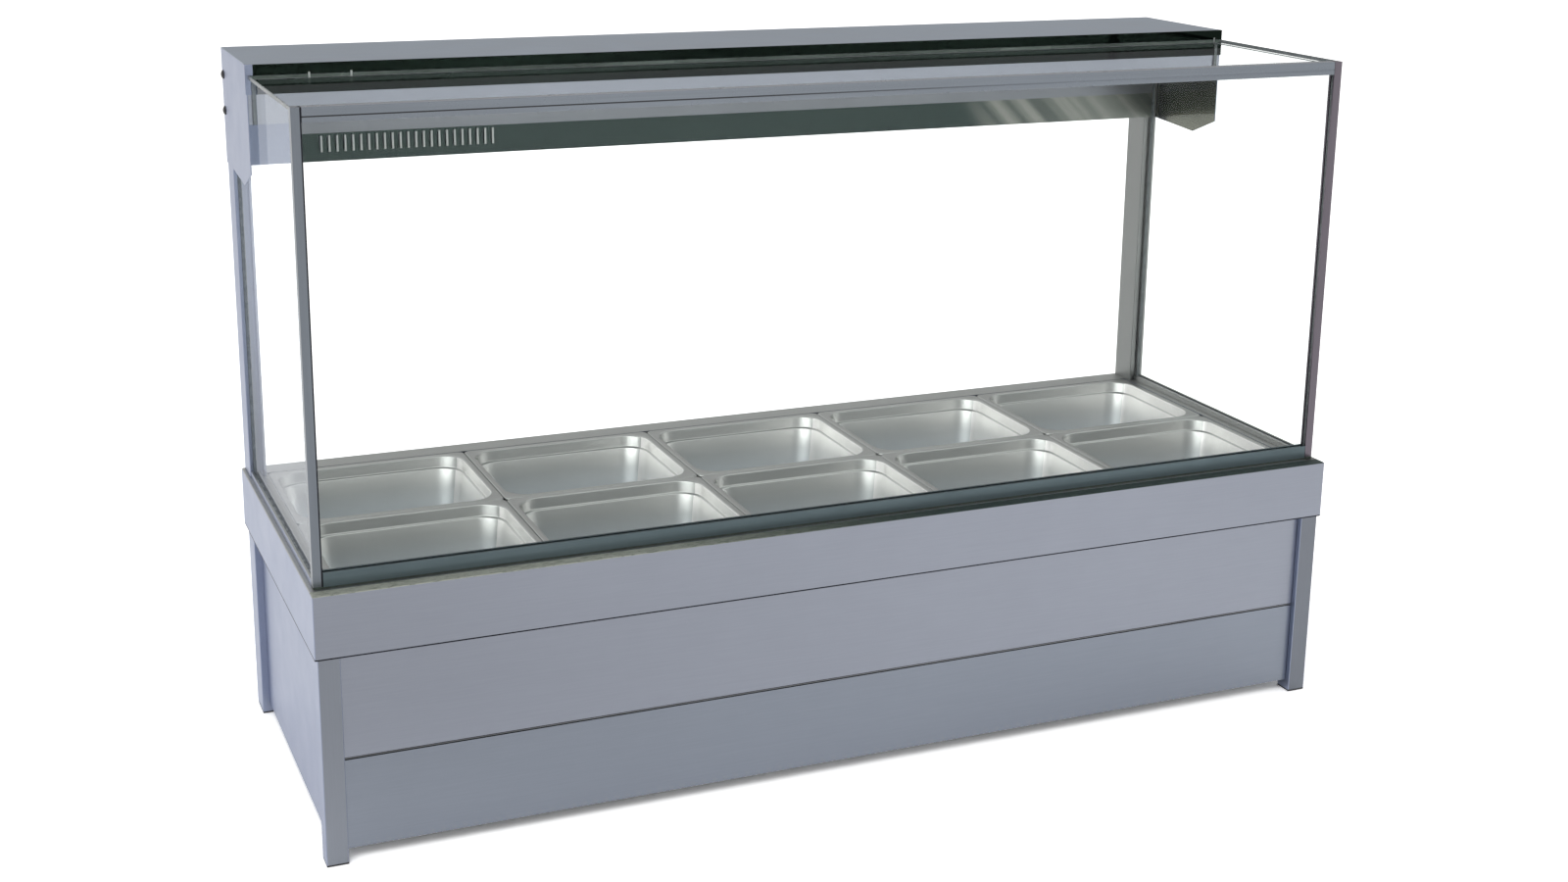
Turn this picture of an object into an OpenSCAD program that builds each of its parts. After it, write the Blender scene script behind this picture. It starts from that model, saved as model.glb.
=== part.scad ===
// Hot food bar: ten lift-out pans over a heated well, square glass on three sides and on top,
// and a hood with heat lamps on two rear posts. Millimetres, +Z up, the customer's side faces -Y.
// The origin lies on the floor, under the middle of the cabinet.

/* [Overall] */
// Height of the whole unit
overall_h = 1100; // [980:5:1300]
// Height of the deck's top surface above the floor
deck_h = 413; // [380:1:480]

/* [Cabinet] */
// Height of the band that runs round the deck
band_h = 95; // [70:1:120]
// Overhang of the band past the legs
band_over = 4; // [3:0.5:12]
// Thickness of the folded sheets
sheet_t = 1.5; // [1:0.1:2]
// Thickness of the front and side panels
panel_t = 2; // [1.2:0.1:3]
// Width of the square front legs
leg_w = 32; // [26:1:44]
// Wall of the leg and post tubes
tube_wall = 2; // [1.5:0.1:3]
// Width of the rear posts
post_w = 26; // [22:1:40]
// Depth of the rear posts
post_d = 53; // [40:1:60]
// Thickness of the foot plate under each leg
foot_t = 3; // [2:0.5:8]
// Length of a foot's plug inside its leg
plug_h = 14; // [8:1:30]
// Height of the front panel's lower edge above the floor
panel_lift = 19; // [12:1:40]
// Height of the joint between the two front panels
split_h = 158; // [120:1:200]
// Open joint between the two front panels
split_gap = 2.4; // [1.5:0.1:5]
// Setback of the front panels behind the legs
front_recess = 10; // [6:0.5:16]
// Setback of the side panels behind the legs
side_recess = 13; // [9:0.5:15]
// Height of the frame rails
rail_h = 25; // [18:1:30]
// Depth of the frame rails
rail_d = 20; // [14:1:20]
// Height of the rail behind the joint of the front panels
mid_rail_h = 16; // [10:1:30]
// Depth of the rail behind the joint of the front panels
mid_rail_d = 12; // [8:1:20]
// Height of the bottom tray's turned-up edge
tray_edge_h = 25; // [15:1:40]

/* [Well] */
// Distance between pans along the unit
pan_pitch_x = 325; // [300:1:340]
// Distance between pans across the unit
pan_pitch_y = 265; // [250:1:280]
// Gap between two pan rims
pan_gap = 1; // [0.6:0.1:2]
// Width of a pan's flat rim
rim_w = 11; // [9:0.5:14]
// Height of a pan's rolled rim
rim_h = 6; // [4:0.5:10]
// Depth of a pan
pan_depth = 100; // [60:1:110]
// Wall of a pan
pan_wall = 1; // [0.8:0.1:1.5]
// Depth of the stacking shoulder below the rim
shoulder_h = 22; // [15:1:30]
// Inward step of the stacking shoulder
shoulder_w = 4; // [3:0.5:6]
// Corner radius of a pan's mouth
pan_r = 40; // [25:1:55]
// Width of the support bars between pans
bar_w = 19; // [16:0.5:20]
// Height of the support bars
bar_h = 20; // [10:1:25]
// Depth of the heated well below the deck
well_depth = 160; // [150:1:175]
// Thickness of the insulation below the well
slab_t = 25; // [10:1:30]
// Diameter of the heating rods
rod_dia = 8; // [6:0.5:10]
// Height of the heating rods above the well floor
rod_lift = 22; // [14:1:26]
// Distance between the two legs of a heating rod
rod_span = 160; // [100:1:200]

/* [Glazing] */
// Thickness of the glass
glass_t = 6; // [4:0.5:7]
// Ledge of the deck in front of the glass
ledge_d = 28; // [20:1:40]
// Depth of the glass channel, the top rail and the corner trims
trim_w = 14; // [13:0.5:20]
// Distance from the leg's outer face to the corner trim
trim_inset = 3; // [2:0.5:6]
// Depth of the slots in the corner trims
slot_d = 3.4; // [2:0.1:3.4]
// Height of the front glass channel
channel_h = 21; // [14:1:30]
// Height of the channels at the ends
end_channel_h = 10; // [6:0.5:16]
// Thickness of the seal under the front channel
seal_t = 2; // [1.2:0.1:4]
// Height of the rail along the top of the front glass
top_rail_h = 21; // [16:1:30]
// Distance from the unit's top down to the top of the glass
glass_drop = 16; // [10:1:24]
// Width of the shelves that carry the top glass
shelf_w = 7; // [5:0.5:12]

/* [Hood] */
// Depth of the hood
hood_d = 240; // [200:1:260]
// Height of the dark strip along the hood's front
strip_h = 44; // [30:1:60]
// Height of the satin fascia below the strip
fascia_h = 44; // [30:1:60]
// Length of the dark strip's turned ends
strip_end = 15; // [8:1:30]
// Drop of the end plates at their front edge
plate_front_drop = 162; // [140:1:180]
// Drop of the end plates at their lowest point
plate_apex_drop = 189; // [182:1:220]
// Distance from the hood's front to the end plates' lowest point
plate_apex_d = 67; // [40:1:100]
// Drop of the rear housing
housing_drop = 179; // [165:1:180]
// Height of the vented strip below the reflector
vent_strip_h = 45; // [40:1:50]
// Width of a vent slot
vent_w = 5; // [3:0.5:7]
// Height of a vent slot
vent_h = 24; // [16:1:28]
// Distance between vent slots
vent_pitch = 12.6; // [9:0.1:15]
// Height of the slots above the housing's lower edge
vent_lift = 16; // [10:1:18]
// Distance from the left leg's outer face to the first slot
vent_start = 135; // [60:1:300]
// Diameter of the heat lamps
lamp_dia = 12; // [8:1:16]
// Length of a heat lamp
lamp_len = 440; // [300:1:480]
// Width of a lamp holder
holder_w = 22; // [18:1:26]
// Drop of a lamp holder below the reflector
holder_h = 38; // [30:1:45]
// Diameter of the dome nuts on the end plates
dome_dia = 14; // [8:1:18]

/* [Controls] */
// Width of the control recess
recess_w = 400; // [380:1:500]
// Height of the control recess
recess_h = 110; // [90:1:120]
// Depth of the control recess
recess_d = 26; // [24:1:32]
// Distance from the middle of the unit to the middle of the recess
recess_x = 500; // [420:1:550]
// Height of the recess's middle above the floor
recess_z = 140; // [110:1:150]
// Diameter of the thermostat knob
knob_dia = 44; // [30:1:60]
// Height of the thermostat knob
knob_h = 18; // [12:1:18]
// Diameter of the control shaft
shaft_dia = 6; // [4:0.5:8]
// Radius of a switch rocker
rocker_r = 11; // [8:0.5:13]
// Width of a switch rocker
rocker_w = 13; // [8:0.5:16]
// Diameter of the indicator lamp
pilot_dia = 12; // [8:0.5:16]
// Outer diameter of the cable gland
gland_dia = 24; // [18:1:30]
// Bore of the cable gland
gland_bore = 11; // [8:0.5:14]
// Head diameter of the panel screws
screw_dia = 8; // [6:0.5:10]

/* [Hidden] */
$fn = 48;
// Counts of pans, vents, lamps and screws
pan_cols = 5;
pan_rows = 2;
vent_count = 23;
lamp_count = 3;
screw_count = 5;
// Overrun of every cut, and the clearance of what slides, seats or turns
cut = 1;
fit = 0.3;

// Plan of the cabinet, from the block of pans outwards
tank_gap = 1.2;
block_x = pan_cols * pan_pitch_x / 2;
well_x = block_x + fit;
tank_x = well_x + sheet_t;
post_in_x = tank_x + tank_gap;
post_x = post_in_x + post_w;
leg_x = post_x + sheet_t;
band_x = leg_x + band_over;
front_margin = ledge_d + trim_w + 2 * sheet_t;
rear_margin = 42;
half_d = (front_margin + pan_rows * pan_pitch_y + rear_margin) / 2;
leg_y = -half_d + band_over;
back_y = half_d - band_over;
block_y0 = -half_d + front_margin;
block_y1 = block_y0 + pan_rows * pan_pitch_y;
post_y = back_y - post_d;
leg_in_x = leg_x - leg_w;
leg_back_y = leg_y + leg_w;

// Levels of the cabinet
deck_under = deck_h - sheet_t;
rail_top = deck_under - sheet_t;
rail_under = rail_top - rail_h;
side_rail_under = deck_under - rail_h;
band_under = deck_h - band_h;
rack_top = deck_h - rim_h;
rack_under = rack_top - bar_h;
well_floor = deck_h - well_depth;
rod_z = well_floor + sheet_t + rod_lift;
ledge_w = 8;

// Panels and the faces behind them
front_face = leg_y + front_recess;
front_back = front_face + panel_t;
side_face = leg_x - side_recess;
side_back = side_face - panel_t;
back_in = back_y - sheet_t;
panel_play = 0.5;

// Glazing
trim_x = leg_x - trim_inset;
trim_in_x = trim_x - trim_w;
trim_y = -half_d + ledge_d;
trim_back_y = trim_y + trim_w;
glass_x = trim_x - trim_w / 2;
glass_y = trim_y + trim_w / 2;
glass_top = overall_h - glass_drop;
top_glass_z = glass_top - glass_t;
slot_w = glass_t + 2 * fit;
pad_h = 3;
rail_slot_d = 8;

// Hood
hood_top_under = overall_h - sheet_t;
hood_y = back_y - hood_d;
strip_y = hood_y - sheet_t;
plate_in_x = post_x;
fascia_z = overall_h - strip_h - fascia_h;
fascia_lip = 12;
housing_z = overall_h - housing_drop;
vent_y = post_y - sheet_t;
vent_x = glass_x - glass_t / 2 - 2 * fit;
reflector_z = housing_z + vent_strip_h;
reflector_drop = 25;
reflector_top = overall_h - reflector_drop;
// Breaks of the reflector's slopes, as shares of the depth under the hood
reflector_shares = [0.28, 0.72];
// The lamps share the reflector's length evenly
lamp_pitch = 2 * vent_x / lamp_count;
dome_h = band_over;
dome_back = 14;
dome_drops = [41, 97];
// Radius of a dome's curve, as a share of its diameter
dome_curve_share = 0.75;

// Controls
floor_y = back_y - recess_d;
floor_in = floor_y - sheet_t;
// Places along the recess, as shares of its width from its middle
knob_share = -0.33;
power_share = -0.1;
lamp_switch_share = 0.05;
pilot_share = 0.19;
gland_share = 0.36;
shaft_len = 12;
bush_dia = 10;
body_w = 40;
body_d = 26;
slab_gap = 5;
switch_depth = 20;
bezel_t = 1.6;
bezel_w = 2.5;
pin_dia = 3;
pin_len = 1.5;
rocker_tilt = 7;
rocker_rise = 4;
pilot_body = 18;
gland_nut_t = 5;
gland_len = 16;
// Diameters of the gland's thread and cap, and the ends of the groove between its two rings, as shares
gland_thread_share = 0.7;
gland_cap_share = 0.9;
gland_shares = [0.4, 0.5];
gland_thread = gland_dia * gland_thread_share;
gland_cap = gland_dia * gland_cap_share;
terminal_w = 70;
terminal_d = 24;
terminal_h = 22;
shank_dia = 4;
shank_len = 8;
screw_head = 1.8;
screw_inset = 40;

// A block between two corners
module block(a, b) {
    translate(a) cube(b - a);
}

// A copy on each side of the middle
module both_sides() {
    children();
    mirror([1, 0, 0]) children();
}

// An upright rectangular tube between two corners
module tube(a, b, wall) {
    difference() {
        block(a, b);
        block([a.x + wall, a.y + wall, a.z - cut], [b.x - wall, b.y - wall, b.z + cut]);
    }
}

// A rectangle with round corners, standing as a prism
module round_prism(w, d, r, h) {
    linear_extrude(h) union() {
        square([w - 2 * r, d], center = true);
        square([w, d - 2 * r], center = true);
        for (sx = [-1, 1], sy = [-1, 1])
            translate([sx * (w / 2 - r), sy * (d / 2 - r)]) circle(r);
    }
}

// A profile drawn in the Y-Z plane and stretched along X between two places
module along_x(x0, x1) {
    translate([x0, 0, 0]) rotate([90, 0, 90]) linear_extrude(x1 - x0) children();
}

// A disc or rod that points along Y
module rod_y(x, z, y0, y1, dia) {
    translate([x, y0, z]) rotate([-90, 0, 0]) cylinder(d = dia, h = y1 - y0);
}

module front_leg() {
    color([0.60, 0.62, 0.66]) tube([leg_in_x, leg_y, foot_t], [leg_x, leg_back_y, deck_under], tube_wall);
}

module front_left_leg() { mirror([1, 0, 0]) front_leg(); }
module front_right_leg() { front_leg(); }

// Width of the groove, as a share of the post's
groove_share = 0.36;
groove_w = post_w * groove_share;
groove_d = 2 * tube_wall;
groove_x = post_in_x + 2 * tube_wall;

// A rear post, with a shallow groove down its front face
module rear_post() {
    color([0.56, 0.57, 0.58]) difference() {
        block([post_in_x, post_y, foot_t], [post_x, back_y, hood_top_under]);
        block([post_in_x + tube_wall, post_y + groove_d + tube_wall, foot_t - cut],
              [post_x - tube_wall, back_y - tube_wall, hood_top_under + cut]);
        block([groove_x, post_y - cut, deck_h], [groove_x + groove_w, post_y + groove_d, housing_z]);
    }
}

module rear_left_post() { mirror([1, 0, 0]) rear_post(); }
module rear_right_post() { rear_post(); }

// A foot plate with a plug that fits in the tube above it
module foot(a, b, plug_front) {
    inset = tube_wall + fit;
    block([a.x, a.y, 0], [b.x, b.y, foot_t]);
    block([a.x + inset, a.y + plug_front + fit, 0], [b.x - inset, b.y - inset, foot_t + plug_h]);
}

module leg_feet() {
    color([0.06, 0.06, 0.07]) both_sides() {
        foot([leg_in_x, leg_y], [leg_x, leg_back_y], tube_wall);
        foot([post_in_x, post_y], [post_x, back_y], groove_d + tube_wall);
    }
}

// Four rails under the deck: the front and rear ones carry the well's flanges
module frame_rails() {
    color([0.5, 0.52, 0.54]) {
        along_x(-leg_in_x, leg_in_x) rail_section(leg_y + sheet_t, rail_under);
        difference() {
            along_x(-post_in_x, post_in_x) rail_section(back_in - rail_d, rail_under);
            for (i = [0 : screw_count - 1])
                rod_y(screw_x(i), screw_rows[1], back_in - tube_wall - cut, back_in + cut,
                      shank_dia + 2 * fit);
        }
        both_sides() difference() {
            block([post_in_x, leg_back_y, side_rail_under], [post_in_x + rail_d, post_y, deck_under]);
            block([post_in_x + tube_wall, leg_back_y - cut, side_rail_under + tube_wall],
                  [post_in_x + rail_d - tube_wall, post_y + cut, deck_under - tube_wall]);
        }
    }
}

module rail_section(y, z) {
    translate([y, z]) difference() {
        square([rail_d, rail_h]);
        translate([tube_wall, tube_wall]) square([rail_d - 2 * tube_wall, rail_h - 2 * tube_wall]);
    }
}

module front_mid_rail() {
    color([0.42, 0.44, 0.46]) along_x(-leg_in_x, leg_in_x)
        translate([front_back, split_h - mid_rail_h / 2]) square([mid_rail_d, mid_rail_h]);
}

// The deck with its band: one sheet folded down on all four sides
module top_band() {
    color([0.60, 0.62, 0.66]) difference() {
        block([-band_x, -half_d, band_under], [band_x, half_d, deck_h]);
        block([-band_x + sheet_t, -half_d + sheet_t, band_under - cut],
              [band_x - sheet_t, half_d - sheet_t, deck_under]);
        block([-block_x - fit, block_y0 - fit, deck_under - cut],
              [block_x + fit, block_y1 + fit, deck_h + cut]);
        both_sides() block([post_in_x - fit, post_y - fit, deck_under - cut],
                           [post_x + fit, back_y + fit, deck_h + cut]);
    }
}

module front_upper_panel() {
    color([0.58, 0.60, 0.64]) block([-leg_in_x + panel_play, front_face, split_h + split_gap / 2],
                                    [leg_in_x - panel_play, front_back, rail_under]);
}

module front_lower_panel() {
    color([0.58, 0.60, 0.64]) block([-leg_in_x + panel_play, front_face, panel_lift],
                                    [leg_in_x - panel_play, front_back, split_h - split_gap / 2]);
}

tray_z = panel_lift;

// A side panel with a flange turned in under the bottom tray
module side_panel() {
    color([0.66, 0.68, 0.74]) {
        block([side_back, leg_back_y + panel_play, tray_z - sheet_t],
              [side_face, post_y - panel_play, side_rail_under]);
        block([side_back - ledge_w, leg_back_y + panel_play, tray_z - sheet_t],
              [side_back, post_y - panel_play, tray_z]);
    }
}

module left_side_panel() { mirror([1, 0, 0]) side_panel(); }
module right_side_panel() { side_panel(); }

rear_panel_top = rail_under + rail_h / 2;

// Middle of a control that sits at a share of the recess's width
function control_x(share) = -recess_x + share * recess_w;
screw_span = 2 * (post_in_x - screw_inset);
function screw_x(i) = -screw_span / 2 + i * screw_span / (screw_count - 1);
screw_rows = [tray_z + tray_edge_h / 2, rear_panel_top - rail_h / 4];
switch_w = rocker_w + 2 * bezel_w;
switch_h = 2 * rocker_r + 2 * bezel_w;

// The rear panel, with a recess pressed in for the controls
module rear_control_panel() {
    x0 = -recess_x - recess_w / 2;
    x1 = -recess_x + recess_w / 2;
    z0 = recess_z - recess_h / 2;
    z1 = recess_z + recess_h / 2;
    color([0.58, 0.60, 0.64]) difference() {
        union() {
            block([-post_in_x + panel_play, back_in, tray_z], [post_in_x - panel_play, back_y, rear_panel_top]);
            block([x0 - sheet_t, floor_in, z0 - sheet_t], [x1 + sheet_t, back_in, z1 + sheet_t]);
        }
        block([x0, floor_y, z0], [x1, back_y + cut, z1]);
        rod_y(control_x(knob_share), recess_z, floor_in - cut, floor_y + cut, bush_dia + 2 * fit);
        rod_y(control_x(pilot_share), recess_z, floor_in - cut, floor_y + cut, pilot_dia + 2 * fit);
        rod_y(control_x(gland_share), recess_z, floor_in - cut, floor_y + cut, gland_thread + 2 * fit);
        for (share = [power_share, lamp_switch_share])
            block([control_x(share) - switch_w / 2 - fit, floor_in - cut, recess_z - switch_h / 2 - fit],
                  [control_x(share) + switch_w / 2 + fit, floor_y + cut, recess_z + switch_h / 2 + fit]);
        for (i = [0 : screw_count - 1], z = screw_rows)
            rod_y(screw_x(i), z, back_in - cut, back_y + cut, shank_dia + 2 * fit);
    }
}

// The bottom tray, with its edge turned up and its corners cut out round the legs
module bottom_tray() {
    color([0.5, 0.52, 0.54]) difference() {
        block([-side_back, front_back, tray_z], [side_back, back_in, tray_z + tray_edge_h]);
        block([-side_back + sheet_t, front_back + sheet_t, tray_z + sheet_t],
              [side_back - sheet_t, back_in - sheet_t, tray_z + tray_edge_h + cut]);
        both_sides() {
            block([leg_in_x - fit, front_back - cut, tray_z - cut],
                  [side_back + cut, leg_back_y + fit, tray_z + tray_edge_h + cut]);
            block([post_in_x - fit, post_y - fit, tray_z - cut],
                  [side_back + cut, back_in + cut, tray_z + tray_edge_h + cut]);
        }
        for (i = [0 : screw_count - 1])
            rod_y(screw_x(i), screw_rows[0], back_in - sheet_t - cut, back_in + cut, shank_dia + 2 * fit);
    }
}

wall_y0 = block_y0 - fit;
wall_y1 = block_y1 + fit;
rod_out_y = wall_y1 + sheet_t;
flange_reach = rail_d + ledge_w;
function column_x(i) = (i - (pan_cols - 1) / 2) * pan_pitch_x;
function row_y(j) = block_y0 + (j + 0.5) * pan_pitch_y;

// The heated well: an open box with a ledge for the rack and flanges on the long sides
module well_tank() {
    color([0.62, 0.62, 0.6]) difference() {
        union() {
            block([-tank_x, wall_y0 - sheet_t, well_floor], [tank_x, wall_y1 + sheet_t, deck_under]);
            block([-leg_in_x + panel_play, wall_y0 - flange_reach, rail_top],
                  [leg_in_x - panel_play, wall_y0, deck_under]);
            block([-leg_in_x + panel_play, wall_y1, rail_top],
                  [leg_in_x - panel_play, wall_y1 + flange_reach, deck_under]);
        }
        block([-well_x, wall_y0, rack_under], [well_x, wall_y1, deck_h]);
        block([-well_x + ledge_w, wall_y0 + ledge_w, rack_under - sheet_t - cut],
              [well_x - ledge_w, wall_y1 - ledge_w, rack_under + cut]);
        block([-well_x, wall_y0, well_floor + sheet_t], [well_x, wall_y1, rack_under - sheet_t]);
        for (i = [0 : pan_cols - 1], s = [-1, 1])
            rod_y(column_x(i) + s * rod_span / 2, rod_z, wall_y1 - cut, rod_out_y + cut, rod_dia + 2 * fit);
    }
}

// The insulation under the well stops in front of the space for the controls
module insulation_slab() {
    color([0.85, 0.82, 0.6]) block([-tank_x, wall_y0 - sheet_t, well_floor - slab_t],
                                   [tank_x, floor_in - body_d - slab_gap, well_floor]);
}

rod_setback = 24;
rod_front_y = block_y0 + rod_setback + rod_span / 2;
rod_end_y = rod_out_y + 2 * rod_dia;
rod_plate_t = 2;

// One hairpin heating rod, with the plate that holds it to the well's rear wall
module heating_rod(x) {
    for (s = [-1, 1]) rod_y(x + s * rod_span / 2, rod_z, rod_front_y, rod_end_y, rod_dia);
    translate([x, rod_front_y, rod_z]) rotate([0, 0, 180])
        rotate_extrude(angle = 180) translate([rod_span / 2, 0]) circle(d = rod_dia);
    for (s = [-1, 1])
        block([x + s * rod_span / 2 - rod_dia, rod_out_y, rod_z - rod_dia],
              [x + s * rod_span / 2 + rod_dia, rod_out_y + rod_plate_t, rod_z + rod_dia]);
}

module heating_elements() {
    color([0.35, 0.36, 0.35]) for (i = [0 : pan_cols - 1]) heating_rod(column_x(i));
}

module element_supports() {
    color([0.6, 0.6, 0.58]) for (i = [0 : pan_cols - 1], y = [rod_front_y, row_y(1)])
        block([column_x(i) - rod_span / 2 - rod_dia, y - sheet_t, well_floor + sheet_t],
              [column_x(i) + rod_span / 2 + rod_dia, y + sheet_t, rod_z - rod_dia / 2 - fit]);
}

cell_l = pan_pitch_x - bar_w;
cell_b = pan_pitch_y - bar_w;

// The rack that the pans hang in: one open cell per pan
module pan_support_rack() {
    color([0.6, 0.6, 0.58]) difference() {
        block([-block_x, block_y0, rack_under], [block_x, block_y1, rack_top]);
        for (i = [0 : pan_cols - 1], j = [0 : pan_rows - 1])
            block([column_x(i) - cell_l / 2, row_y(j) - cell_b / 2, rack_under - cut],
                  [column_x(i) + cell_l / 2, row_y(j) + cell_b / 2, rack_top + cut]);
    }
}

rim_l = pan_pitch_x - pan_gap;
rim_b = pan_pitch_y - pan_gap;
mouth_l = rim_l - 2 * rim_w;
mouth_b = rim_b - 2 * rim_w;
rim_r = 12;
floor_step = 8;

// One pan: a rolled rim, a neck, a stacking shoulder and a deep body with a rounded floor edge
module pan(i, j) {
    body_l = mouth_l - 2 * shoulder_w;
    body_b = mouth_b - 2 * shoulder_w;
    body_r = pan_r - shoulder_w;
    color([0.66, 0.67, 0.66]) translate([column_x(i), row_y(j), deck_h]) difference() {
        union() {
            translate([0, 0, -rim_h]) round_prism(rim_l, rim_b, rim_r, rim_h);
            translate([0, 0, -shoulder_h])
                round_prism(mouth_l + 2 * pan_wall, mouth_b + 2 * pan_wall, pan_r + pan_wall, shoulder_h);
            translate([0, 0, -pan_depth + floor_step])
                round_prism(body_l + 2 * pan_wall, body_b + 2 * pan_wall, body_r + pan_wall,
                            pan_depth - floor_step);
            translate([0, 0, -pan_depth])
                round_prism(body_l - floor_step, body_b - floor_step, body_r - floor_step / 2, floor_step);
        }
        difference() {
            translate([0, 0, -rim_h - cut])
                round_prism(rim_l - 2 * pan_wall, rim_b - 2 * pan_wall, rim_r - pan_wall,
                            rim_h + cut - pan_wall);
            translate([0, 0, -rim_h - 2 * cut])
                round_prism(mouth_l + 2 * pan_wall, mouth_b + 2 * pan_wall, pan_r + pan_wall, rim_h + 2 * cut);
        }
        translate([0, 0, -shoulder_h + pan_wall]) round_prism(mouth_l, mouth_b, pan_r, shoulder_h);
        translate([0, 0, -pan_depth + floor_step + pan_wall])
            round_prism(body_l, body_b, body_r, pan_depth - floor_step);
        translate([0, 0, -pan_depth + pan_wall])
            round_prism(body_l - floor_step - 2 * pan_wall, body_b - floor_step - 2 * pan_wall,
                        body_r - floor_step / 2 - pan_wall, floor_step + cut);
    }
}

module front_pan_1() { pan(0, 0); }
module front_pan_2() { pan(1, 0); }
module front_pan_3() { pan(2, 0); }
module front_pan_4() { pan(3, 0); }
module front_pan_5() { pan(4, 0); }
module rear_pan_1() { pan(0, 1); }
module rear_pan_2() { pan(1, 1); }
module rear_pan_3() { pan(2, 1); }
module rear_pan_4() { pan(3, 1); }
module rear_pan_5() { pan(4, 1); }

module front_glass() {
    color([0.8, 0.95, 0.9, 0.35]) block(
        [-trim_in_x - slot_d + fit, glass_y - glass_t / 2, deck_h + seal_t + sheet_t + fit],
        [trim_in_x + slot_d - fit, glass_y + glass_t / 2, glass_top - top_rail_h + rail_slot_d - fit]);
}

// An end pane, stepped down where it passes under the hood
module end_glass() {
    front = trim_back_y - slot_d + fit;
    back = post_y - fit;
    bottom = deck_h + pad_h + fit;
    color([0.8, 0.95, 0.9, 0.35]) along_x(glass_x - glass_t / 2, glass_x + glass_t / 2) polygon([
        [front, bottom], [back, bottom], [back, fascia_z - fit], [strip_y - fit, fascia_z - fit],
        [strip_y - fit, top_glass_z - fit], [front, top_glass_z - fit]
    ]);
}

module left_end_glass() { mirror([1, 0, 0]) end_glass(); }
module right_end_glass() { end_glass(); }

module top_glass() {
    color([0.8, 0.95, 0.9, 0.35]) block([-trim_x + fit, trim_back_y + fit, top_glass_z],
                                        [trim_x - fit, strip_y - fit, glass_top]);
}

// The two corner trims, slotted for the front pane and the end panes
module corner_trims() {
    color([0.5, 0.52, 0.55]) both_sides() difference() {
        block([trim_in_x, trim_y, deck_h + pad_h], [trim_x, trim_back_y, glass_top]);
        block([trim_in_x - cut, glass_y - slot_w / 2, deck_h],
              [trim_in_x + slot_d, glass_y + slot_w / 2, overall_h]);
        block([glass_x - slot_w / 2, trim_back_y - slot_d, deck_h],
              [glass_x + slot_w / 2, trim_back_y + cut, top_glass_z]);
    }
}

// The rail that caps the front pane, with a shelf behind for the top pane
module front_top_rail() {
    z0 = glass_top - top_rail_h;
    color([0.68, 0.70, 0.72]) along_x(-trim_in_x + fit, trim_in_x - fit) difference() {
        union() {
            translate([trim_y, z0]) square([trim_w, top_rail_h]);
            translate([trim_back_y, top_glass_z - fit - sheet_t]) square([shelf_w, sheet_t]);
        }
        translate([glass_y - slot_w / 2, z0 - cut]) square([slot_w, rail_slot_d + cut]);
    }
}

module front_glass_channel() {
    z0 = deck_h + seal_t;
    color([0.34, 0.39, 0.41]) along_x(-trim_in_x + fit, trim_in_x - fit) difference() {
        translate([trim_y, z0]) square([trim_w, channel_h]);
        translate([glass_y - slot_w / 2, z0 + sheet_t]) square([slot_w, channel_h]);
    }
}

module end_glass_channels() {
    color([0.45, 0.48, 0.5]) both_sides() difference() {
        block([trim_in_x, trim_back_y + fit, deck_h], [trim_x, post_y - fit, deck_h + end_channel_h]);
        block([glass_x - slot_w / 2, trim_back_y - cut, deck_h + pad_h],
              [glass_x + slot_w / 2, post_y + cut, deck_h + end_channel_h + cut]);
    }
}

// A dark strip under the front channel and a pad under each corner trim
module glass_seals() {
    color([0.1, 0.13, 0.11]) {
        block([-trim_in_x + fit, trim_y, deck_h], [trim_in_x - fit, trim_back_y, deck_h + seal_t]);
        both_sides() block([trim_in_x, trim_y, deck_h], [trim_x, trim_back_y, deck_h + pad_h]);
    }
}

// The angle on the hood's front that carries the rear edge of the top pane
module top_glass_ledge() {
    z1 = top_glass_z - fit;
    color([0.7, 0.72, 0.73]) along_x(-trim_in_x, trim_in_x) union() {
        translate([strip_y - shelf_w, z1 - sheet_t]) square([shelf_w, sheet_t]);
        translate([strip_y - sheet_t, z1 - shelf_w]) square([sheet_t, shelf_w]);
    }
}

module canopy_top() {
    color([0.58, 0.61, 0.65]) block([-leg_x, hood_y, hood_top_under], [leg_x, back_y, overall_h]);
}

// The dark polished strip, wrapped round both ends of the hood
module canopy_front_strip() {
    z0 = overall_h - strip_h;
    color([0.07, 0.1, 0.08]) union() {
        block([-leg_x - sheet_t, strip_y, z0], [leg_x + sheet_t, hood_y, overall_h]);
        both_sides() block([leg_x, hood_y, z0], [leg_x + sheet_t, hood_y + strip_end, overall_h]);
    }
}

module canopy_fascia() {
    color([0.6, 0.62, 0.65]) along_x(-plate_in_x, plate_in_x) union() {
        translate([hood_y, fascia_z]) square([sheet_t, hood_top_under - fascia_z]);
        translate([hood_y, fascia_z]) square([fascia_lip, sheet_t]);
    }
}

// A hood end plate, drawn down to a blunt point below the lamps
module end_plate() {
    color([0.66, 0.68, 0.74]) along_x(plate_in_x, leg_x) polygon([
        [hood_y, hood_top_under], [hood_y, overall_h - plate_front_drop],
        [hood_y + plate_apex_d, overall_h - plate_apex_drop],
        [post_y, housing_z - sheet_t], [back_y, housing_z - sheet_t], [back_y, hood_top_under]
    ]);
}

module left_end_plate() { mirror([1, 0, 0]) end_plate(); }
module right_end_plate() { end_plate(); }

// The rear wall and floor of the housing behind the lamps
module rear_housing() {
    color([0.5, 0.53, 0.54]) along_x(-post_in_x, post_in_x) union() {
        translate([post_y, housing_z]) square([post_d, sheet_t]);
        translate([back_in, housing_z]) square([sheet_t, hood_top_under - housing_z]);
    }
}

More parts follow.
